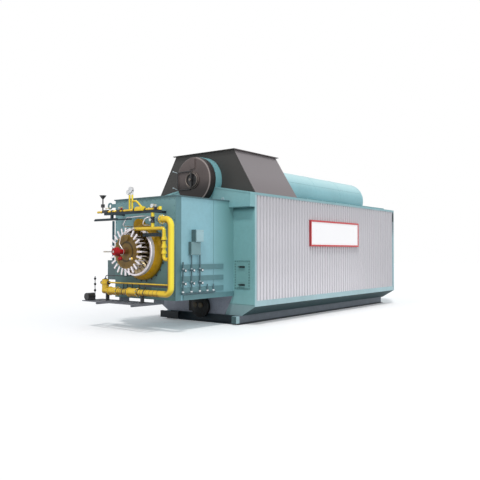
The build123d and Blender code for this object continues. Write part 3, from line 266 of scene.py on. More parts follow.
def enamel(colour, rough=0.42, dust=0.12, streaks=0.12, wear=0.35, buckle=0.0012, coat=0.0, mottled=0.07,
           zones=(), gleam=0.5):
    """Sprayed enamel on sheet steel: cloudy colour, vertical rain streaks, dust on top faces, worn edges,
    a fine orange peel and slow buckles of the sheet."""
    f = Finish("enamel")
    up = f.facing()[2]
    slow = f.cloud(0.9, 4.0)
    quick = f.cloud(9.0, 5.0, 0.6)
    tint = f.blend((slow * 0.6 + quick * 0.4).between(0.3, 0.7), shaded(colour, 1.0 - mottled),
                   shaded(colour, 1.0 + mottled))
    tint = f.zoned(tint, zones)
    downwards = (4.0, 4.0, 0.16)
    runs = f.cloud(3.2, 4.0, 0.65, downwards).between(0.5, 0.74) * f.cloud(1.1, 2.0).between(0.35, 0.7)
    tint = f.blend(runs * streaks, tint, shaded(colour, 0.62))
    settled = up.between(0.5, 0.95) * f.cloud(5.0, 5.0, 0.7).between(0.35, 0.75)
    tint = f.blend(settled * dust, tint, tone(200, 196, 186))
    edge = f.worn_edge() * f.cloud(34.0, 4.0, 0.7).between(0.5, 0.66)
    tint = f.blend(edge * wear, tint, tone(150, 152, 150))
    gloss = rough + (quick - 0.5) * 0.16 + settled * 0.18 + runs * 0.1
    peel = f.relief(f.cloud(420.0, 2.0), 0.00025, 0.5)
    wave = f.relief(f.cloud(1.6, 2.0), buckle, 0.9, peel)
    return f.done(tint, gloss, wave, 0.0, coat, gleam)


def cast_coat(colour, rough=0.55, grain=0.0012, wear=0.5, rust=0.0, scale=70.0, zones=(), gleam=0.5):
    """Thick paint on cast or hot-rolled steel: coarse grain, dull cloudy colour, bare edges and touches of
    rust."""
    f = Finish("cast_coat")
    slow = f.cloud(2.4, 4.0)
    quick = f.cloud(26.0, 5.0, 0.65)
    tint = f.blend((slow * 0.5 + quick * 0.5).between(0.3, 0.7), shaded(colour, 0.84), shaded(colour, 1.2))
    tint = f.zoned(tint, zones)
    spots = f.cloud(14.0, 6.0, 0.7).between(0.6, 0.72)
    tint = f.blend(spots * rust, tint, tone(104, 62, 38))
    edge = f.worn_edge(0.004) * f.cloud(60.0, 4.0, 0.7).between(0.48, 0.64)
    tint = f.blend(edge * wear, tint, tone(132, 128, 122))
    gloss = rough + (quick - 0.5) * 0.24
    rough_skin = f.relief(f.cloud(scale, 4.0, 0.6), grain, 0.7)
    return f.done(tint, gloss, rough_skin, gleam=gleam)


def bright_metal(colour, rough=0.3, stain=0.3, heat=None):
    """Bare metal with fine scratches, a soft stain and, where asked, heat colours."""
    f = Finish("bright_metal")
    slow = f.cloud(5.0, 4.0)
    lengthwise = (1.0, 0.12, 1.0)
    fine = f.cloud(240.0, 3.0, 0.6, lengthwise)
    tint = f.blend(slow.between(0.35, 0.72) * stain, colour, shaded(colour, 0.6))
    if heat is not None:
        tint = f.blend(f.cloud(9.0, 3.0).between(0.42, 0.7) * 0.7, tint, heat)
    gloss = rough + (slow - 0.5) * 0.25 + (fine - 0.5) * 0.14
    return f.done(tint, gloss, f.relief(fine, 0.00012, 0.6), 1.0)


def build_finishes():
    """One finish for each slot of the record, and one for each piece that looks different from its slot."""
    windbox = tone(139, 186, 197)
    lagging = tone(136, 186, 194)
    sheet = tone(205, 203, 208)
    brown = tone(90, 80, 78)
    front = ("front", 0.5, 0.9)
    right = ("right", 0.5, 0.9)
    valley = ("outward", 1.808, 1.790)
    crest = ("outward", 1.790, 1.808)
    rear_end = ("y", 8.5, 8.6)
    return {
        "casing_teal": enamel(tone(112, 160, 164), 0.45),
        # Painted shade: a dark band along the bottom of the header's front face.
        "header_teal": enamel(tone(128, 176, 180), 0.45, zones=(
            (tone(60, 96, 100), 0.8, (("z", 3.135, 3.12), front)),)),
        # The first zone is painted shadow: a dark band on the front face just below the header.
        "front_wall_teal": enamel(tone(124, 172, 174), 0.45, zones=(
            (tone(52, 88, 92), 0.9, (("z", 2.98, 3.10), front)),
            (tone(128, 150, 154), 0.8, (("z", 0.58, 0.50), front)))),
        "door_teal": enamel(tone(117, 162, 162), 0.45),
        "collar_teal": enamel(tone(122, 178, 184), 0.4),
        # Painted shade: front faces darker, their lower part darker still, and on the right side darker up to
        # the corner with the front wall. The right side is also greener towards the rear and darker towards
        # the bottom.
        "windbox_teal": enamel(windbox, 0.42, zones=(
            (tone(112, 152, 156), 0.9, (front,)),
            (tone(76, 108, 106), 0.9, (front, ("z", 2.7, 1.2))),
            (tone(118, 166, 168), 0.7, (right, ("y", -1.05, -0.6))),
            (tone(104, 150, 150), 0.8, (right, ("y", -0.8, -0.1))),
            (shaded(windbox, 0.9), 0.6, (right, ("z", 2.0, 0.9))))),
        "strip_teal": enamel(tone(90, 130, 136), 0.42),
        "roof_teal": enamel(tone(131, 173, 179), 0.48, 0.3),
        # Painted light: top-facing faces much lighter. Painted shade: the lower part darker.
        "lagging_teal": enamel(lagging, 0.4, 0.1, 0.06, 0.2, zones=(
            (tone(184, 222, 226), 0.9, (("top", 0.1, 0.8),)),
            (shaded(lagging, 0.86), 0.8, (("z", 4.0, 3.5),)))),
        # Painted shade: a near-black teal that stands for the shade on the downward-sloping lower panels.
        "slope_teal": enamel(tone(46, 71, 76), 0.55, 0.1, 0.2, gleam=0.25),
        # Painted shade: front-facing faces near-black teal.
        "bracket_teal": enamel(tone(146, 178, 184), 0.5, 0.1, 0.2, zones=(
            (tone(36, 66, 68), 0.9, (front,)),)),
        "trim_pale": enamel(tone(162, 192, 198), 0.4, 0.1, 0.08, 0.2, 0.0006),
        "corner_teal": enamel(tone(158, 190, 196), 0.4, 0.1, 0.08, 0.2, 0.0006, zones=(
            (tone(118, 126, 132), 0.8, (rear_end, ("z", 2.4, 2.9))),
            (tone(36, 46, 50), 0.9, (rear_end, ("z", 3.04, 3.10), ("z", 3.40, 3.36))))),
        "trim_teal": enamel(tone(140, 172, 178), 0.4, 0.1, 0.08, 0.2, 0.0006),
        # Painted shade in the ribs' valleys, deeper higher up; painted light on the crests low down; painted
        # shade towards the top and towards the rear end.
        "cladding": enamel(sheet, 0.42, 0.02, 0.02, 0.06, 0.0003, mottled=0.02, zones=(
            (shaded(sheet, 0.78), 0.8, (valley,)),
            (shaded(sheet, 0.62), 0.5, (valley, ("z", 2.2, 3.3))),
            (shaded(sheet, 1.22), 0.8, (("z", 1.9, 0.7), crest)),
            (shaded(sheet, 0.80), 0.8, (("z", 2.4, 3.4),)),
            (shaded(sheet, 0.80), 0.8, (("y", 4.5, 8.6),)))),
        "dark_strip": enamel(tone(74, 104, 110), 0.5, 0.2, 0.1),
        # Painted shade: the rail's lowest few centimetres much darker.
        "skid_grey": cast_coat(tone(102, 111, 120), 0.5, 0.0008, gleam=0.35, zones=(
            (tone(30, 38, 42), 0.85, (("z", 0.05, 0.02),)),)),
        "plate_grey": cast_coat(tone(136, 138, 150), 0.5, 0.0006),
        "beam_black": cast_coat(tone(32, 46, 54), 0.45, 0.0006, 0.35, gleam=0.3, zones=(
            (tone(10, 16, 24), 0.9, (("y", -0.19, -0.205), ("z", 0.4, 0.3))),)),
        # Painted light and shade: the upper part lighter, the lower part much darker, a pale highlight arc on
        # the head's knuckle at the right, and a near-black rim on the right-facing edge of the head.
        "drum_brown": cast_coat(brown, 0.42, 0.0006, 0.4, 0.06, gleam=0.35, zones=(
            (shaded(brown, 1.5), 0.6, (("z", 4.1, 4.5),)),
            (shaded(brown, 0.2), 0.9, (("z", 4.0, 3.6),)),
            (tone(158, 148, 144), 0.8, (("from_drum_axis", 0.590, 0.606), ("from_drum_axis", 0.632, 0.622),
                                        ("x", -0.1, 0.3))),
            (tone(40, 36, 35), 0.85, (("from_drum_axis", 0.632, 0.638), ("right", -0.1, 0.4))))),
        "drum_black": cast_coat(tone(15, 15, 15), 0.5, 0.0006, 0.15, 0.03, gleam=0.25),
        "cover_brown": cast_coat(tone(66, 56, 38), 0.45, 0.0006, 0.3, 0.1, gleam=0.3),
        # Painted light: right-facing faces lighter, their lower part a little less so. Front faces are much
        # darker.
        "hopper_brown": cast_coat(tone(82, 76, 72), 0.55, 0.0009, 0.3, 0.08, 40.0, zones=(
            (tone(130, 124, 126), 0.9, (("right", 0.4, 0.8),)),
            (tone(112, 104, 106), 0.6, (("right", 0.4, 0.8), ("z", 4.1, 3.5))),
            (tone(52, 51, 49), 0.9, (front,)))),
        # Painted shade: darker olive where the scroll meets the windbox. Also darker within 0.55 m of the
        # burner's axis.
        "burner_ochre": cast_coat(tone(172, 132, 8), 0.34, 0.0004, 0.2, 0.2, gleam=0.2, zones=(
            (tone(104, 84, 10), 0.8, (("y", -2.30, -2.22),)),
            (tone(90, 78, 16), 0.6, (("from_burner_axis", 0.60, 0.55),)))),
        "face_ochre": cast_coat(tone(112, 88, 40), 0.4, 0.0006, 0.4, 0.45, 30.0, gleam=0.3, zones=(
            (tone(52, 42, 20), 0.8, (("from_burner_axis", 0.20, 0.215), ("from_burner_axis", 0.262, 0.25))),
            (tone(84, 48, 26), 0.6, (("from_burner_axis", 0.13, 0.10),)),
            (tone(160, 130, 60), 0.6, (("from_burner_axis", 0.385, 0.40),)))),
        "bright_steel": bright_metal(tone(214, 212, 212), 0.3),
        "ring_steel": bright_metal(tone(240, 234, 238), 0.5, 0.15),
        "vane_steel": bright_metal(tone(186, 172, 140), 0.38, 0.4, tone(130, 92, 44)),
        # Painted shade: downward-facing faces darker.
        "signal_red": enamel(tone(158, 14, 22), 0.45, 0.0, 0.05, 0.1, 0.0, 0.0, gleam=0.2, zones=(
            (tone(90, 12, 18), 0.8, (("top", 0.0, -0.7),)),)),
        # Painted light and shade: right-facing faces lighter, left-facing faces dark ochre, downward-facing
        # faces darker.
        "gas_yellow": enamel(tone(236, 200, 58), 0.34, 0.0, 0.12, 0.15, 0.0, 0.05, gleam=0.25, zones=(
            (tone(248, 232, 70), 0.8, (("right", 0.2, 0.8),)),
            (tone(124, 92, 4), 0.95, (("right", 0.1, -0.45),)),
            (tone(160, 122, 24), 0.7, (("top", -0.1, -0.7),)))),
        # Painted shade: downward-facing faces darker.
        "train_orange": enamel(tone(222, 186, 60), 0.36, 0.0, 0.3, 0.2, 0.0, 0.05, 0.12, gleam=0.25, zones=(
            (tone(140, 98, 22), 0.85, (("top", 0.1, -0.6),)),)),
        "valve_grey": cast_coat(tone(70, 92, 100), 0.4, 0.001),
        "black_iron": cast_coat(tone(40, 40, 42), 0.42, 0.001, 0.5),
        "tray_grey": cast_coat(tone(100, 102, 110), 0.5, 0.0006, 0.5, 0.05),
        # Painted shade: front-facing faces of the frame darker.
        "sign_red": enamel(tone(196, 40, 46), 0.3, 0.02, 0.03, 0.1, 0.0, 0.2, 0.03, zones=(
            (tone(150, 44, 48), 0.8, (front,)),)),
        "sign_white": enamel(tone(255, 254, 255), 0.3, 0.0, 0.0, 0.0, 0.0002, 0.2, 0.004),
        # Painted shade: front-facing faces much darker. The lower box's right faces are darker too.
        "box_pale": enamel(tone(156, 190, 196), 0.42, 0.1, 0.08, 0.3, 0.0004, zones=(
            (tone(62, 84, 86), 0.9, (front,)),
            (tone(112, 146, 150), 0.9, (("z", 2.19, 2.175), ("right", 0.2, 0.6))))),
        "conduit_zinc": bright_metal(tone(176, 188, 194), 0.42, 0.25),
        "pipe_dark": cast_coat(tone(70, 98, 106), 0.4, 0.0003, 0.3),
        "seat_steel": bright_metal(tone(132, 124, 118), 0.42, 0.3),
        "latch_black": cast_coat(tone(22, 24, 26), 0.5, 0.0004, 0.1),
        "bolt_teal": enamel(tone(80, 118, 118), 0.45, 0.0, 0.05, 0.1, 0.0),
        "gauge_face": bright_metal(tone(196, 196, 198), 0.3, 0.2),
        "brass_fitting": bright_metal(tone(206, 170, 90), 0.3),
        "white_fitting": enamel(tone(232, 234, 236), 0.35, 0.0, 0.05, 0.2, 0.0),
    }


FINISH_OF_NODE = {
    "front_header": "header_teal", "front_wall": "front_wall_teal", "access_doors": "door_teal",
    "corner_trims": "corner_teal", "burner_front_ring": "ring_steel", "gas_canes": "ring_steel",
    "drum_collar": "collar_teal", "lifting_lugs": "trim_pale", "windbox_side_flanges": "strip_teal",
    "skid_end_plates": "bracket_teal", "lower_front_plate": "plate_grey", "burner_hub": "face_ochre",
    "side_pipes": "pipe_dark", "low_gas_pipe": "train_orange", "main_pipe_flanges": "train_orange",
    "door_latches": "latch_black",
}

finishes = build_finishes()
for name, material in finishes.items():
    material.name = name
slot_of = {part["node"]: part["material_slot"] for part in frame["record"]["subparts"]}
for node, piece in frame["nodes"].items():
    piece.data.materials.clear()
    piece.data.materials.append(finishes[FINISH_OF_NODE.get(node, slot_of[node])])


# Shapes.

def add_piece(name, shape, finish, smooth=False):
    """A new piece of the boiler from a shape's points and faces, with the finish of that name."""
    points, faces = shape
    mesh = bpy.data.meshes.new(name)
    mesh.from_pydata(np.asarray(points).tolist(), [], [list(face) for face in faces])
    mesh.validate()
    mesh.materials.append(finishes[finish])
    if smooth:
        mesh.polygons.foreach_set("use_smooth", np.ones(len(mesh.polygons), dtype=bool))
    piece = bpy.data.objects.new(name, mesh)
    bpy.context.scene.collection.objects.link(piece)
    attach(piece, "root")


def basis(direction):
    """Three unit vectors, of which the third is the direction: side = up x w, then w x side."""
    w = np.asarray(direction, dtype=float)
    w = w / np.linalg.norm(w)
    helper = np.array([0.0, 0.0, 1.0]) if abs(w[2]) < 0.9 else np.array([0.0, 1.0, 0.0])
    u = np.cross(helper, w)
    u = u / np.linalg.norm(u)
    return np.stack([u, np.cross(w, u), w])


def skin(rings):
    """Joins rings of points of one count, each to the next, and closes both ends."""
    rings = np.asarray(rings, dtype=float)
    rows, sides = rings.shape[:2]
    here = np.arange(sides)
    after = (here + 1) % sides
    start = np.arange(rows - 1)[:, None] * sides
    quads = np.stack([start + here, start + after, start + sides + after, start + sides + here], axis=-1)
    ends = [list(range(sides - 1, -1, -1)), ((rows - 1) * sides + here).tolist()]
    return rings.reshape(-1, 3), quads.reshape(-1, 4).tolist() + ends


def lathe_shape(profile, sides):
    """A closed turned shape: point (i, k) is (r_i cos a_k, r_i sin a_k, h_i), with a_k = 2 pi k / sides.
    The profile runs from the lower pole to the upper pole."""
    profile = np.asarray(profile, dtype=float)
    angle = 2.0 * np.pi * np.arange(sides) / sides
    return skin(np.stack([np.outer(profile[:, 0], np.cos(angle)), np.outer(profile[:, 0], np.sin(angle)),
                          np.repeat(profile[:, 1:2], sides, axis=1)], axis=-1))


def plate_shape(wide, high, thick, ease):
    """A flat plate lying at height 0, with its outer face's edges eased: three rings of four corners."""
    inset = np.array([0.0, 0.0, ease])[:, None]
    rise = np.array([0.0, thick - ease, thick])[:, None]
    x = (wide / 2 - inset) * np.array([1.0, -1.0, -1.0, 1.0])
    y = (high / 2 - inset) * np.array([1.0, 1.0, -1.0, -1.0])
    return skin(np.stack([x, y, rise + np.zeros((3, 4))], axis=-1))


def hoop(wide, high, thick, around, sides=8):
    """A closed round bar along an ellipse: point (i, k) lies thick away from the ellipse's point i, at angle
    k round the bar."""
    a = (2.0 * np.pi * np.arange(around) / around)[:, None]
    b = (2.0 * np.pi * np.arange(sides) / sides)[None, :]
    way = np.stack([high * np.cos(a), wide * np.sin(a)])
    way = way / np.sqrt((way ** 2).sum(axis=0))
    x = wide * np.cos(a) + thick * np.cos(b) * way[0]
    y = high * np.sin(a) + thick * np.cos(b) * way[1]
    z = thick * np.sin(b) + 0.0 * a
    i = np.arange(around)[:, None]
    k = np.arange(sides)[None, :]
    i1 = (i + 1) % around
    k1 = (k + 1) % sides
    quads = np.stack([i * sides + k, i1 * sides + k, i1 * sides + k1, i * sides + k1], axis=-1)
    return np.stack([x, y, z], axis=-1).reshape(-1, 3), quads.reshape(-1, 4).tolist()


def rod_along(path, radius, sides=8):
    """A round bar along a path: ring i stands across the path's direction there, point k at 2 pi k / sides
    round it."""
    path = np.asarray(path, dtype=float)
    angle = 2.0 * np.pi * np.arange(sides)[:, None] / sides
    rings = []
    for place, way in zip(path, np.gradient(path, axis=0)):
        u, v = basis(way)[:2]
        rings.append(place + radius * (np.cos(angle) * u + np.sin(angle) * v))
    return skin(rings)


def turned(shape, angle):
    """A shape turned about its own height."""
    cos, sin = math.cos(angle), math.sin(angle)
    return shape[0] @ np.array([[cos, sin, 0.0], [-sin, cos, 0.0], [0.0, 0.0, 1.0]]), shape[1]


def raised(shape, shift):
    """A shape moved within its own axes."""
    return shape[0] + np.asarray(shift, dtype=float), shape[1]


def set_down(shape, place, direction):
    """A shape carried to a place, its height turned to a direction."""
    return shape[0] @ basis(direction) + np.asarray(place, dtype=float), shape[1]


def joined(shapes):
    """Several shapes as one."""
    points = []
    faces = []
    count = 0
    for shape_points, shape_faces in shapes:
        points.append(shape_points)
        faces += [[v + count for v in face] for face in shape_faces]
        count += len(shape_points)
    return np.concatenate(points), faces


def repeated(shape, places, directions):
    """Copies of one small shape, each carried to its place and turned to the one direction or to its own."""
    directions = np.broadcast_to(directions, (len(places), 3))
    return joined([set_down(shape, place, direction) for place, direction in zip(places, directions)])


def hex_bolt(across, high, washer=True):
    """A hexagon head on a round washer, standing on its face at height 0."""
    radius = across / math.sqrt(3.0)
    head = lathe_shape([(radius, 0.0), (radius, high * 0.85), (radius * 0.86, high)], 6)
    if not washer:
        return head
    return joined([lathe_shape([(across * 0.95, 0.0), (across * 0.95, high * 0.22)], 12), head])


def spaced(start, end, count):
    """Evenly spaced places from start to end."""
    share = np.linspace(0.0, 1.0, count)[:, None]
    return np.asarray(start) * (1.0 - share) + np.asarray(end) * share


def ring_of(centre, axis, radius, count):
    """Places round a circle about an axis, from half a step on."""
    u, v = basis(axis)[:2]
    angle = 2.0 * np.pi * (np.arange(count) + 0.5) / count
    return np.asarray(centre) + radius * (np.cos(angle)[:, None] * u + np.sin(angle)[:, None] * v)


def scatter(name, shape, places, directions, finish, smooth=False):
    """A new piece of many copies of one small shape."""
    add_piece(name, repeated(shape, places, directions), finish, smooth)


def bolts(name, places, direction, across, high, finish, washer=True):
    """Hexagon bolts at places on one face."""
    scatter(name, hex_bolt(across, high, washer), places, direction, finish)


# Casing.

DOOR_WIDE = 0.506
DOOR_EDGE = 0.022
SCREW_HEAD = ((0.011, 0.0), (0.010, 0.0015), (0.005, 0.003))


def door_edges():
    """An access door's rectangle, drawn in by the bolt line's distance from the edge."""
    low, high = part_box("access_doors")
    return (high[0] - DOOR_WIDE + DOOR_EDGE, high[0] - DOOR_EDGE), (low[2] + DOOR_EDGE, high[2] - DOOR_EDGE)


def door_bolts():
    """Dark bolts round each access door's edge."""
    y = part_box("access_doors")[0][1]
    xs, zs = door_edges()
    places = []
    for side in SIDES:
        for x in xs:
            places += [(side * x, y, z) for z in np.linspace(*zs, 11)]
        for z in zs:
            places += [(side * x, y, z) for x in np.linspace(*xs, 8)[1:-1]]
    bolts("door_bolts", places, FRONT, 0.020, 0.011, "bolt_teal")


def door_seals():
    """A thin dark line of sealing rope round each door, between the door and the wall."""
    xs, zs = door_edges()
    low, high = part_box("access_doors")
    past = 0.008
    rope = plate_shape(DOOR_WIDE + past, high[2] - low[2] + past, 0.004, 0.002)
    places = [(side * sum(xs) / 2, 0.0, sum(zs) / 2) for side in SIDES]
    scatter("door_seals", rope, places, FRONT, "bolt_teal")


def latch_plates():
    """A dark keeper plate behind each door latch."""
    low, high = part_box("access_doors")
    latch_low, latch_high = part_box("door_latches")
    x = high[0] - DOOR_WIDE / 2
    half_latch = 0.012
    heights = (latch_low[2] + half_latch, latch_high[2] - half_latch)
    places = [(side * x, low[1], z) for side in SIDES for z in heights]
    keeper = plate_shape(0.18, 0.048, 0.008, 0.003)
    scatter("latch_plates", keeper, places, FRONT, "latch_black")


def cladding_screws():
    """Sheet screws along the sill trim and the corner trims on both long sides."""
    low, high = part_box("sill_trims")
    corner_low, corner_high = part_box("corner_trims")
    end_room = 0.1
    from_corner = 0.045
    sill_count, corner_count = 58, 14
    sill_z = high[2] - 0.03
    z0, z1 = corner_low[2] + end_room, corner_high[2] - end_room
    places = []
    directions = []
    for side in SIDES:
        x = side * high[0]
        row = list(spaced((x, low[1] + end_room, sill_z), (x, high[1] - end_room, sill_z), sill_count))
        for y in (low[1] + from_corner, high[1] - from_corner):
            row += list(spaced((x, y, z0), (x, y, z1), corner_count))
        places += row
        directions += [(side, 0.0, 0.0)] * len(row)
    scatter("cladding_screws", lathe_shape(SCREW_HEAD, 8), places, directions, "trim_pale")


def front_wall_folds():
    """The folded line across each lower corner of the front wall, a slim dark bead."""
    low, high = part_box("front_wall")
    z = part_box("lower_slope_panels")[1][2] + 0.04
    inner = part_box("windbox_body")[1][0] - 0.16
    outer = high[0] - 0.02
    beads = [rod_along(spaced((side * inner, low[1], z), (side * outer, low[1], z), 16), 0.005, 6)
             for side in SIDES]
    add_piece("front_wall_folds", joined(beads), "bolt_teal", True)


def lagging_seams():
    """The lap along each side of the drum's lagging, a slim line 24 degrees up from its widest point."""
    rear_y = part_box("drum_lagging")[1][1] - 0.02
    front_y = 2.15
    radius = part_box("drum_rear_dome")[1][0]
    up = math.radians(24.0)
    z = DRUM_Z + radius * math.sin(up)
    beads = []
    for side in SIDES:
        x = side * radius * math.cos(up)
        beads.append(rod_along(spaced((x, front_y, z), (x, rear_y, z), 40), 0.004, 6))
    add_piece("lagging_seams", joined(beads), "casing_teal", True)


def end_wall_screws():
    """Sheet screws round the rear wall and along the front header's bottom lip."""
    low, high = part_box("rear_wall")
    x, y = high[0] - 0.05, high[1]
    z0, z1 = low[2] + 0.45, 3.35
    upright_count, level_count = 15, 19
    rows = (((-x, y, z0), (-x, y, z1), upright_count), ((x, y, z0), (x, y, z1), upright_count),
            ((-x, y, z1), (x, y, z1), level_count), ((-x, y, z0), (x, y, z0), level_count))
    rear = np.concatenate([spaced(*row) for row in rows])
    scatter("rear_wall_screws", lathe_shape(SCREW_HEAD, 8), rear, REAR, "trim_teal")
    low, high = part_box("front_header")
    lip_y = low[1] + 0.012
    lip_z = low[2] + 0.035
    x0, x1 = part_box("windbox_lid")[1][0] + 0.08, high[0] - 0.05
    lip = np.concatenate([spaced((side * x0, lip_y, lip_z), (side * x1, lip_y, lip_z), 6) for side in SIDES])
    scatter("header_screws", lathe_shape(SCREW_HEAD, 8), lip, FRONT, "trim_teal")


def sign_rivets():
    """Small round rivets along the sign frame's four sides."""
    low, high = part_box("sign_frame")
    inset = 0.025
    y0, y1, z0, z1 = low[1] + inset, high[1] - inset, low[2] + inset, high[2] - inset
    x = high[0] - 0.004
    places = [place for z in (z0, z1) for place in spaced((x, y0, z), (x, y1, z), 9)]
    places += [(x, y, (z0 + z1) / 2) for y in (y0, y1)]
    rivet = lathe_shape([(0.009, 0.0), (0.008, 0.002), (0.005, 0.004)], 10)
    scatter("sign_rivets", rivet, places, RIGHT, "sign_red", smooth=True)


# Windbox.

def windbox_bolts():
    """Bolts down the windbox's front corners and along its top edge."""
    low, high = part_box("windbox_body")
    x, y = high[0] - 0.035, low[1]
    top_z = high[2] - 0.06
    places = [(side * x, y, z) for side in SIDES for z in np.linspace(low[2] + 0.08, top_z, 15)]
    places += [(px, y, top_z) for px in np.linspace(-x, x, 14)[1:-1]]
    bolts("windbox_bolts", places, FRONT, 0.016, 0.009, "strip_teal")


def windbox_seams():
    """Weld beads where the windbox's side plates meet, on both sides."""
    low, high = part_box("windbox_body")
    seam_y = -0.815
    z0, z1 = low[2] + 0.01, high[2] - 0.01
    beads = []
    for side in SIDES:
        x = side * high[0]
        beads.append(rod_along(spaced((x, seam_y, z0), (x, seam_y, z1), 40), 0.005, 6))
    add_piece("windbox_seams", joined(beads), "strip_teal", True)


def side_box_covers():
    """A raised cover with four screws on the outer face of each box at the windbox's right side. The table
    gives each box's face, middle, length and height."""
    switch = (1.190, -1.572, 2.020, 0.350, 0.326)
    terminal = (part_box("side_boxes")[1][0], -1.500, 2.334, 0.280, 0.302)
    margin = 0.03
    thick = 0.008
    corner = 0.035
    covers = []
    screws = []
    for x, y, z, long, high in (switch, terminal):
        cover = plate_shape(long - margin, high - margin, thick, thick / 2)
        covers.append(set_down(cover, (x, y, z), RIGHT))
        screws += [(x + thick, y + dy * (long / 2 - corner), z + dz * (high / 2 - corner))
                   for dy in SIDES for dz in SIDES]
    add_piece("side_box_covers", joined(covers), "box_pale")
    bolts("side_box_screws", screws, RIGHT, 0.014, 0.006, "conduit_zinc", washer=False)


SIDE_PIPE_X = 1.149
DRAIN_Y = (-1.99, -1.69, -1.385)
SHORT_DRAIN_Y = (-1.103, -0.871)
SIDE_VALVE_Z = (1.165, 1.483)


def side_unions():
    """Pale hexagon unions at the foot of each drain pipe, and a nut and a pale round cap on each small
    valve."""
    low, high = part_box("side_pipes")
    nut = lathe_shape([(0.026, -0.017), (0.030, -0.012), (0.030, 0.012), (0.026, 0.017)], 6)
    foot_z = low[2] + 0.067
    feet = [(SIDE_PIPE_X, y, foot_z) for y in DRAIN_Y + SHORT_DRAIN_Y]
    scatter("side_unions", nut, feet, UP, "white_fitting")
    above = 0.036
    nuts = [(SIDE_PIPE_X, y, z + above) for y in DRAIN_Y for z in SIDE_VALVE_Z]
    scatter("side_valve_nuts", nut, nuts, UP, "conduit_zinc")
    cap = lathe_shape([(0.025, 0.006), (0.025, 0.014), (0.018, 0.020), (0.007, 0.022)], 16)
    ends = [(high[0], y, z) for y in DRAIN_Y for z in SIDE_VALVE_Z]
    scatter("side_valve_caps", cap, ends, RIGHT, "white_fitting", True)


def side_handwheels():
    """A spoked handwheel on each small valve: a rim, three spokes and a hub."""
    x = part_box("side_pipes")[1][0] + 0.002
    hub = lathe_shape([(0.013, -0.004), (0.013, 0.006), (0.006, 0.009)], 10)
    spoke = rod_along([(0.0, 0.0, 0.0), (0.02, 0.0, 0.0), (0.040, 0.0, 0.0)], 0.004, 6)
    spokes = [turned(spoke, 2.0 * math.pi * turn / 3.0) for turn in range(3)]
    wheel = joined([hoop(0.038, 0.038, 0.005, 24, 6), hub] + spokes)
    places = [(x, y, z) for y in DRAIN_Y for z in SIDE_VALVE_Z]
    scatter("side_handwheels", wheel, places, RIGHT, "pipe_dark", True)


# Drum head and hopper.

def manway_details():
    """Oval steel seats on the manway's rim, the nut on the yoke's stud, and a weld bead round the head."""
    low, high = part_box("manway_ring")
    half_wide = (high[0] - low[0]) / 2
    half_high = (high[2] - low[2]) / 2
    seats = []
    for inset, thick, back in ((0.045, 0.010, 0.0), (0.006, 0.006, 0.0225)):
        seat = hoop(half_wide - inset, half_high - inset, thick, 56)
        seats.append(set_down(seat, (0.0, low[1] + back, DRUM_Z), FRONT))
    add_piece("manway_seats", joined(seats), "seat_steel", True)
    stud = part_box("manway_cover")[0][1]
    nut = lathe_shape([(0.029, 0.0), (0.031, 0.004), (0.031, 0.022), (0.026, 0.026)], 6)
    washer = lathe_shape([(0.040, 0.0), (0.040, 0.005)], 16)
    pair = [set_down(shape, (0.0, stud + back, DRUM_Z), FRONT)
            for shape, back in ((nut, 0.013), (washer, 0.018))]
    add_piece("yoke_nut", joined(pair), "seat_steel")
    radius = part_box("steam_drum_head")[1][0] - 0.001
    weld_y = -0.318
    bead = set_down(hoop(radius, radius, 0.006, 96, 6), (0.0, weld_y, DRUM_Z), FRONT)
    add_piece("head_weld", bead, "drum_brown", smooth=True)


def hinge_pins():
    """Pins with round heads at the hinge frame's two left corners."""
    low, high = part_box("manway_cover")
    frame_y = -0.447
    half_bar = 0.015
    pin = lathe_shape([(0.009, 0.0), (0.009, 0.16), (0.017, 0.163), (0.017, 0.19), (0.010, 0.196)], 10)
    places = [(low[0] + half_bar, frame_y, z) for z in (high[2] - 2 * half_bar, low[2] + 2 * half_bar)]
    scatter("hinge_pins", pin, places, (-1.0, 0.0, 0.35), "conduit_zinc", True)


def hopper_welds():
    """Weld beads up the hopper's four sloping corners, from the eaves to the flange."""
    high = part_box("outlet_hopper")[1]
    eaves_z = 3.47
    front_y = 0.040
    rear_lean = 0.060
    foot_x = high[0] - 0.004
    top_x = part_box("hopper_flange")[1][0] - 0.075
    beads = []
    for side in SIDES:
        for y0, y1 in ((front_y, front_y), (high[1], high[1] - rear_lean)):
            path = spaced((side * foot_x, y0, eaves_z), (side * top_x, y1, high[2]), 30)
            beads.append(rod_along(path, 0.008, 6))
    add_piece("hopper_welds", joined(beads), "hopper_brown", smooth=True)


def hopper_flange_studs():
    """A stud in each hole of the hopper's flange, with its nut underneath."""
    low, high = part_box("hopper_flange")
    half_flange = 0.0375
    x = high[0] - half_flange
    ys = (low[1] + half_flange, high[1] - half_flange)
    places = [(px, y, low[2]) for px in (-x, -x / 3, x / 3, x) for y in ys]
    places += [(px, (ys[0] + ys[1]) / 2, low[2]) for px in (-x, x)]
    shank = raised(lathe_shape([(0.0078, 0.0), (0.0078, 0.014)], 10), (0.0, 0.0, -0.0145))
    stud = joined([hex_bolt(0.024, 0.016), shank])
    scatter("hopper_flange_studs", stud, places, DOWN, "black_iron")


def mud_drum_covers():
    """Two dark round handhole covers with their bolts on the mud drum's end."""
    end_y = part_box("mud_drum_end")[0][1]
    z = 0.470
    from_middle = 0.105
    cover = lathe_shape([(0.075, 0.0), (0.075, 0.016), (0.064, 0.022)], 24)
    covers = []
    for x in (-from_middle, from_middle):
        covers.append(set_down(cover, (x, end_y + 0.010, z), FRONT))
        covers.append(set_down(hex_bolt(0.03, 0.02), (x, end_y - 0.001, z), FRONT))
    add_piece("mud_drum_covers", joined(covers), "cover_brown")


# Burner.

FACE_Y = -2.780


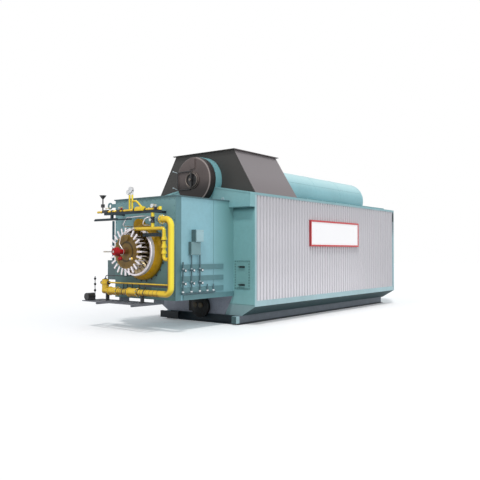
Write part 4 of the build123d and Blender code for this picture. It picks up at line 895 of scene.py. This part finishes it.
def burner_studs():
    """Studs on the windbox round the burner's scroll, clear of its lobe, and bolts round the face plate,
    clear of the branch pipe's nozzle."""
    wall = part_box("windbox_body")[0][1]
    scroll_circle, plate_circle = 0.733, 0.345
    ring = ring_of((0.0, wall, BURNER_Z), FRONT, scroll_circle, 24)
    lobe_x = (-0.35, 0.15)
    lobe_low = BURNER_Z + 0.55
    clear = [place for place in ring if not (place[2] > lobe_low and lobe_x[0] < place[0] < lobe_x[1])]
    bolts("scroll_studs", clear, FRONT, 0.026, 0.016, "black_iron")
    plate = ring_of((0.0, FACE_Y, BURNER_Z), FRONT, plate_circle, 12)
    port = (0.04, 0.335)
    room = 0.09
    clear = [place for place in plate if math.hypot(place[0] - port[0], place[2] - BURNER_Z - port[1]) > room]
    bolts("face_plate_bolts", clear, FRONT, 0.022, 0.012, "face_ochre")


def sight_glass():
    """A short sight tube with a bright rim and a pale glass, low on the right of the burner's face plate."""
    place = (0.20, FACE_Y, BURNER_Z - 0.17)
    mouth = (0.0, 0.0, 0.052)
    tube = lathe_shape([(0.040, 0.0), (0.040, 0.008), (0.028, 0.010), (0.028, 0.050), (0.024, 0.052)], 20)
    add_piece("sight_tube", set_down(tube, place, FRONT), "brass_fitting", True)
    rim = raised(hoop(0.026, 0.026, 0.005, 24, 6), mouth)
    glass = raised(lathe_shape([(0.022, 0.0), (0.016, 0.003), (0.006, 0.005)], 20), mouth)
    add_piece("sight_rim", set_down(rim, place, FRONT), "bright_steel", smooth=True)
    add_piece("sight_pane", set_down(glass, place, FRONT), "white_fitting", True)


def gun_collars():
    """A bright clamp ring round the burner gun's bell, and a hexagon where its pin starts."""
    low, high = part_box("burner_gun")
    hexagon = lathe_shape([(0.024, 0.0), (0.028, 0.004), (0.028, 0.020), (0.022, 0.024)], 6)
    rings = [set_down(hoop(0.076, 0.076, 0.006, 28, 6), (0.0, high[1] - 0.05, BURNER_Z), FRONT),
             set_down(hexagon, (0.0, low[1], BURNER_Z), FRONT)]
    add_piece("gun_collars", joined(rings), "bright_steel", smooth=True)


# Gas train.

TRAIN_Y = -2.600
PILOT_Z = 2.960
LOW_PIPE_Z = 0.948
# Each pressure gauge's x, z and radius.
GAUGES = ((-0.042, 3.465, 0.074), (-0.131, 3.406, 0.059), (0.725, 3.036, 0.048))


def gauge_dials():
    """Each pressure gauge's bright rim, white dial, tick marks over three quarters of a turn, and hand."""
    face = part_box("pressure_gauges")[0][1]
    rims, dials, marks = [], [], []
    for x, z, radius in GAUGES:
        place = (x, face, z)
        rims.append(set_down(hoop(radius * 0.94, radius * 0.94, radius * 0.07, 32, 6), place, FRONT))
        dial = lathe_shape([(radius * 0.90, 0.0), (radius * 0.90, 0.002), (radius * 0.4, 0.003)], 32)
        dials.append(set_down(dial, place, FRONT))
        tick = raised(plate_shape(radius * 0.05, radius * 0.2, 0.0012, 0.0004), (0.0, radius * 0.72, 0.0025))
        for share in np.linspace(-0.375, 0.375, 9):
            marks.append(set_down(turned(tick, -2.0 * math.pi * share), place, FRONT))
        hand = raised(plate_shape(radius * 0.06, radius * 0.8, 0.0015, 0.0005), (0.0, radius * 0.25, 0.0035))
        marks.append(set_down(turned(hand, 0.9), place, FRONT))
    add_piece("gauge_rims", joined(rims), "bright_steel", True)
    add_piece("gauge_dials", joined(dials), "white_fitting")
    add_piece("gauge_marks", joined(marks), "black_iron")


def train_flange_bolts():
    """Bolts on the outer faces of the gas line's flanges. Each row of the table is a height, a bolt circle's
    radius and the two faces of one fitting."""
    low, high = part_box("main_pipe_flanges")
    inlet_low, inlet_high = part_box("gas_inlet_flange")
    main_z = middle_z("main_pipe_flanges")
    main_circle, inlet_circle = 0.095, 0.094
    left_long, right_long = 0.310, 0.328
    fittings = ((main_z, main_circle, low[0], low[0] + left_long),
                (main_z, main_circle, high[0] - right_long, high[0]),
                (middle_z("gas_inlet_flange"), inlet_circle, inlet_low[0], inlet_high[0]))
    places = []
    directions = []
    for z, radius, x0, x1 in fittings:
        for x, way in ((x0, (-1.0, 0.0, 0.0)), (x1, RIGHT)):
            places += list(ring_of((x, TRAIN_Y, z), way, radius, 8))
            directions += [way] * 8
    scatter("gas_flange_bolts", hex_bolt(0.022, 0.014), places, directions, "conduit_zinc")


def pipe_joints():
    """Thin dark joint rings along the low gas pipe, and unions along the pilot line and the branch."""
    joint_x = (-0.44, -0.36, -0.22, 0.36, 0.55, 0.68, 0.81, 0.94)
    joint = hoop(0.0765, 0.0765, 0.004, 32, 6)
    scatter("low_pipe_joints", joint, [(x, TRAIN_Y, LOW_PIPE_Z) for x in joint_x], RIGHT,
            "black_iron", smooth=True)
    union_x = (-1.18, -0.86, -0.62, -0.24, -0.02, 0.20, 0.395, 0.62)
    union = lathe_shape([(0.034, -0.016), (0.038, -0.012), (0.038, 0.012), (0.034, 0.016)], 6)
    scatter("pilot_unions", union, [(x, TRAIN_Y, PILOT_Z) for x in union_x], RIGHT,
            "brass_fitting")
    branch_x = 1.12
    collar = lathe_shape([(0.052, -0.020), (0.056, -0.015), (0.056, 0.015), (0.052, 0.020)], 8)
    places = [(branch_x, TRAIN_Y, z) for z in (1.93, 2.07, 2.21)]
    scatter("branch_unions", collar, places, UP, "face_ochre")


def pilot_levers():
    """A quarter-turn lever on each of the pilot line's valves: a stem, a nut and a flat handle with an eased
    grip. The table gives each valve's place and the way its handle points."""
    levers = ((-1.0, 1.0), (-0.49, 1.0), (0.84, -1.0))
    stem = lathe_shape([(0.012, 0.030), (0.012, 0.085), (0.020, 0.086), (0.020, 0.098), (0.010, 0.104)], 8)
    scatter("lever_stems", stem, [(x, TRAIN_Y, PILOT_Z) for x, way in levers], UP, "bright_steel")
    grip = plate_shape(0.17, 0.026, 0.010, 0.004)
    reach, above = 0.070, 0.088
    places = [(x + way * reach, TRAIN_Y, PILOT_Z + above) for x, way in levers]
    scatter("lever_grips", grip, places, UP, "gas_yellow")


def pipe_clamps():
    """Dark strap clamps round the low gas pipe, each with a stem and a small round knob above it."""
    strap = lathe_shape([(0.0768, -0.014), (0.0815, -0.012), (0.0815, 0.012), (0.0768, 0.014)], 32)
    stem = lathe_shape([(0.011, 0.072), (0.011, 0.19), (0.022, 0.195), (0.022, 0.215), (0.012, 0.222)], 8)
    shapes = []
    for x in (-0.300, -0.155, 0.030, 0.270, 0.480):
        place = (x, TRAIN_Y, LOW_PIPE_Z)
        shapes += [set_down(strap, place, RIGHT), set_down(stem, place, UP)]
    add_piece("pipe_clamps", joined(shapes), "black_iron", smooth=True)


def actuator_details():
    """A dark cap with a round knob on the shut-off actuator, and the bent steel conduit from it to the
    windbox."""
    low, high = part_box("low_gas_pipe")
    from_left = 0.112
    x, top = low[0] + from_left, high[2]
    cap = lathe_shape([(0.080, -0.004), (0.080, 0.006), (0.030, 0.014), (0.030, 0.030), (0.018, 0.036)], 20)
    add_piece("actuator_cap", set_down(cap, (x, TRAIN_Y, top), UP), "black_iron", smooth=True)
    bend = 0.07
    corner_x = -0.35
    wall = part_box("windbox_body")[0][1]
    quarter = np.linspace(0.0, math.pi / 2, 9)
    rise = [(x + bend * (1.0 - math.cos(a)), TRAIN_Y, top + 0.03 + bend * math.sin(a)) for a in quarter]
    level = rise[-1][2]
    back = [(corner_x + bend * math.sin(a), TRAIN_Y + bend * (1.0 - math.cos(a)), level) for a in quarter]
    path = [(x, TRAIN_Y, top)] + rise + back + [(corner_x + bend, wall, level)]
    add_piece("actuator_conduit", rod_along(path, 0.011, 8), "black_iron", smooth=True)


def branch_hanger():
    """A dark steel angle hung under the branch pipe by two bolts, between the riser and the burner's ring."""
    pipe_z = BURNER_Z + 0.550
    bar_z = pipe_z - 0.145
    y = -2.560
    x0, x1 = 0.350, 0.960
    half_thick = 0.015
    hook_in = 0.12
    bar = plate_shape(x1 - x0, 0.085, 2 * half_thick, 0.006)
    shapes = [set_down(bar, ((x0 + x1) / 2, y + half_thick, bar_z), FRONT)]
    for x in (x0 + hook_in, x1 - hook_in):
        hook = [(x, y, bar_z), (x, y, (bar_z + pipe_z) / 2), (x, y, pipe_z - half_thick)]
        shapes.append(rod_along(hook, 0.009, 8))
        shapes.append(set_down(hex_bolt(0.024, 0.014), (x, y - half_thick, bar_z), FRONT))
    add_piece("branch_hanger", joined(shapes), "beam_black")


def train_stand():
    """A slender dark stand at the tray's left end with three round cocks on it."""
    x = -1.430
    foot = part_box("train_tray")[1][2]
    post = lathe_shape([(0.030, 0.0), (0.030, 0.010), (0.011, 0.014), (0.011, 0.60), (0.006, 0.61)], 10)
    cock = lathe_shape([(0.018, -0.030), (0.030, -0.018), (0.030, 0.018), (0.018, 0.030)], 12)
    shapes = [set_down(post, (x, TRAIN_Y, foot), UP)]
    shapes += [set_down(cock, (x, TRAIN_Y, foot + rise), UP) for rise in (0.24, 0.40, 0.54)]
    add_piece("train_stand", joined(shapes), "black_iron", smooth=True)


def rail_cover():
    """A folded steel cover along the thin rail under the pilot line's channel, at its left end."""
    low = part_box("pilot_channel")[0]
    x0, x1 = low[0] + 0.04, -0.52
    cover = plate_shape(x1 - x0, 0.052, 0.026, 0.006)
    place = ((x0 + x1) / 2, low[1] + 0.012, low[2] + 0.030)
    add_piece("rail_cover", set_down(cover, place, FRONT), "beam_black")


def drop_pipe_valve():
    """A black valve with a bright nut on the pipe that drops from the pilot line, and the red cap on the
    line's left valve."""
    place = (0.734, TRAIN_Y, 2.700)
    body = lathe_shape([(0.044, -0.075), (0.054, -0.070), (0.054, -0.050), (0.046, -0.044), (0.046, 0.044),
                        (0.054, 0.050), (0.054, 0.070), (0.044, 0.075)], 18)
    add_piece("drop_valve", set_down(body, place, UP), "black_iron", smooth=True)
    stem = lathe_shape([(0.016, 0.040), (0.016, 0.085), (0.034, 0.086), (0.034, 0.096), (0.012, 0.100)], 8)
    add_piece("drop_valve_stem", set_down(stem, place, FRONT), "bright_steel")
    cap = lathe_shape([(0.026, 0.028), (0.026, 0.066), (0.018, 0.074)], 14)
    red_x = -0.395
    add_piece("pilot_red_cap", set_down(cap, (red_x, TRAIN_Y, PILOT_Z), UP), "signal_red", smooth=True)


def gun_motor():
    """The burner gun's small red motor: a ribbed body hanging under its bell, on a short neck."""
    low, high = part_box("burner_gun")
    ribs = [(0.058 if i % 2 else 0.052, 0.066 + 0.008 * i) for i in range(7)]
    body = lathe_shape([(0.020, -0.02), (0.020, 0.060)] + ribs + [(0.056, 0.125), (0.038, 0.140)], 20)
    neck = (0.030, (low[1] + high[1]) / 2, low[2] + 0.045)
    add_piece("gun_motor", set_down(body, neck, (0.25, 0.0, -1.0)), "signal_red", smooth=True)


# Skid.

def skid_weld_beads():
    """Weld beads between each skid rail's top flange and the casing's bottom, outside and inside."""
    end_room = 0.05
    beads = []
    for node in ("skid_rail_left", "skid_rail_right"):
        low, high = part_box(node)
        z = high[2] - 0.003
        for x in (low[0], high[0]):
            path = spaced((x, end_room, z), (x, high[1] - end_room, z), 60)
            beads.append(rod_along(path, 0.005, 6))
    add_piece("skid_welds", joined(beads), "skid_grey", smooth=True)


for make in (door_bolts, door_seals, latch_plates, cladding_screws, front_wall_folds, lagging_seams,
             end_wall_screws, sign_rivets, windbox_bolts, windbox_seams, side_box_covers, side_unions,
             side_handwheels, manway_details, hinge_pins, hopper_welds, hopper_flange_studs,
             mud_drum_covers, burner_studs, sight_glass, gun_collars, gauge_dials, train_flange_bolts,
             pipe_joints, pilot_levers, pipe_clamps, actuator_details, branch_hanger, train_stand,
             rail_cover, drop_pipe_valve, gun_motor, skid_weld_beads):
    make()


# Floor, light and camera.

def floor_finish():
    """White floor that keeps the shadow: a diffuse sheet, paler where the camera, a reflection or glass sees
    it than to the light that it sends back up."""
    f = Finish("studio_floor")
    f.plug(f.shader.inputs["Roughness"], 0.95)
    f.shader.inputs["Specular IOR Level"].default_value = 0.0
    seen = f.in_view()
    cloudy = f.blend(f.cloud(0.4, 2.0), (0.93, 0.93, 0.935, 1.0), (0.95, 0.95, 0.955, 1.0))
    f.plug(f.shader.inputs["Base Color"], f.blend(seen, (0.80, 0.80, 0.80, 1.0), cloudy))
    f.plug(f.shader.inputs["Emission Color"], f.blend(seen, (0, 0, 0, 1), (0.13, 0.13, 0.13, 1)))
    f.shader.inputs["Emission Strength"].default_value = 1.0
    return f.material


def lay_floor():
    """A flat sheet, 160 m on a side, just under the skid."""
    mesh = bpy.data.meshes.new("studio_floor")
    half = 80.0
    drop = -0.001
    corners = [(-half, -half, drop), (half, -half, drop), (half, half, drop), (-half, half, drop)]
    mesh.from_pydata(corners, [], [(0, 1, 2, 3)])
    mesh.materials.append(floor_finish())
    floor = bpy.data.objects.new("studio_floor", mesh)
    bpy.context.scene.collection.objects.link(floor)


def hang_lamp(name, from_way, energy, angle, colour):
    """A far lamp that shines from one direction; angle is how wide it looks, in radians."""
    lamp = bpy.data.lights.new(name, "SUN")
    lamp.energy = energy
    lamp.angle = angle
    lamp.color = colour
    holder = bpy.data.objects.new(name, lamp)
    tilt = math.atan2(math.hypot(from_way[0], from_way[1]), from_way[2])
    turn = math.atan2(from_way[1], from_way[0]) + math.pi / 2
    holder.rotation_euler = (tilt, 0.0, turn)
    bpy.context.scene.collection.objects.link(holder)


def hang_lights():
    """Even light from all round, white where the camera, a reflection or glass sees it, a high lamp at the
    front and a wide soft one at the right."""
    world = bpy.data.worlds.new("studio_air")
    bpy.context.scene.world = world
    sky = Graph(world)
    light = sky.node("ShaderNodeBackground", None, {"Color": (0.60, 0.62, 0.65, 1.0), "Strength": 0.85})
    white = sky.node("ShaderNodeBackground", None, {"Color": (1.0, 1.0, 1.0, 1.0), "Strength": 1.0})
    mix = sky.node("ShaderNodeMixShader", None, {0: sky.in_view(), 1: light.outputs[0], 2: white.outputs[0]})
    sky.node("ShaderNodeOutputWorld", None, {0: mix.outputs[0]})
    hang_lamp("front_lamp", (0.32, -0.57, 1.0), 1.35, 0.12, (1.0, 0.99, 0.97))
    hang_lamp("side_lamp", (0.95, -0.10, 0.30), 0.85, 1.4, (1.0, 1.0, 1.0))


def set_camera():
    """The photograph's view: its place and angles were fitted to the casing's corners."""
    camera = bpy.data.cameras.new("viewpoint")
    camera.sensor_width = 36.0
    camera.lens = 44.03
    camera.clip_end = 400.0
    holder = bpy.data.objects.new("viewpoint", camera)
    holder.location = (11.044, -12.249, 1.934)
    look_up = 1.169
    look_left = 38.427
    holder.rotation_euler = (math.radians(90.0 + look_up), 0.0, math.radians(look_left))
    bpy.context.scene.collection.objects.link(holder)
    bpy.context.scene.camera = holder


lay_floor()
hang_lights()
set_camera()
bpy.context.scene.view_settings.view_transform = "Standard"
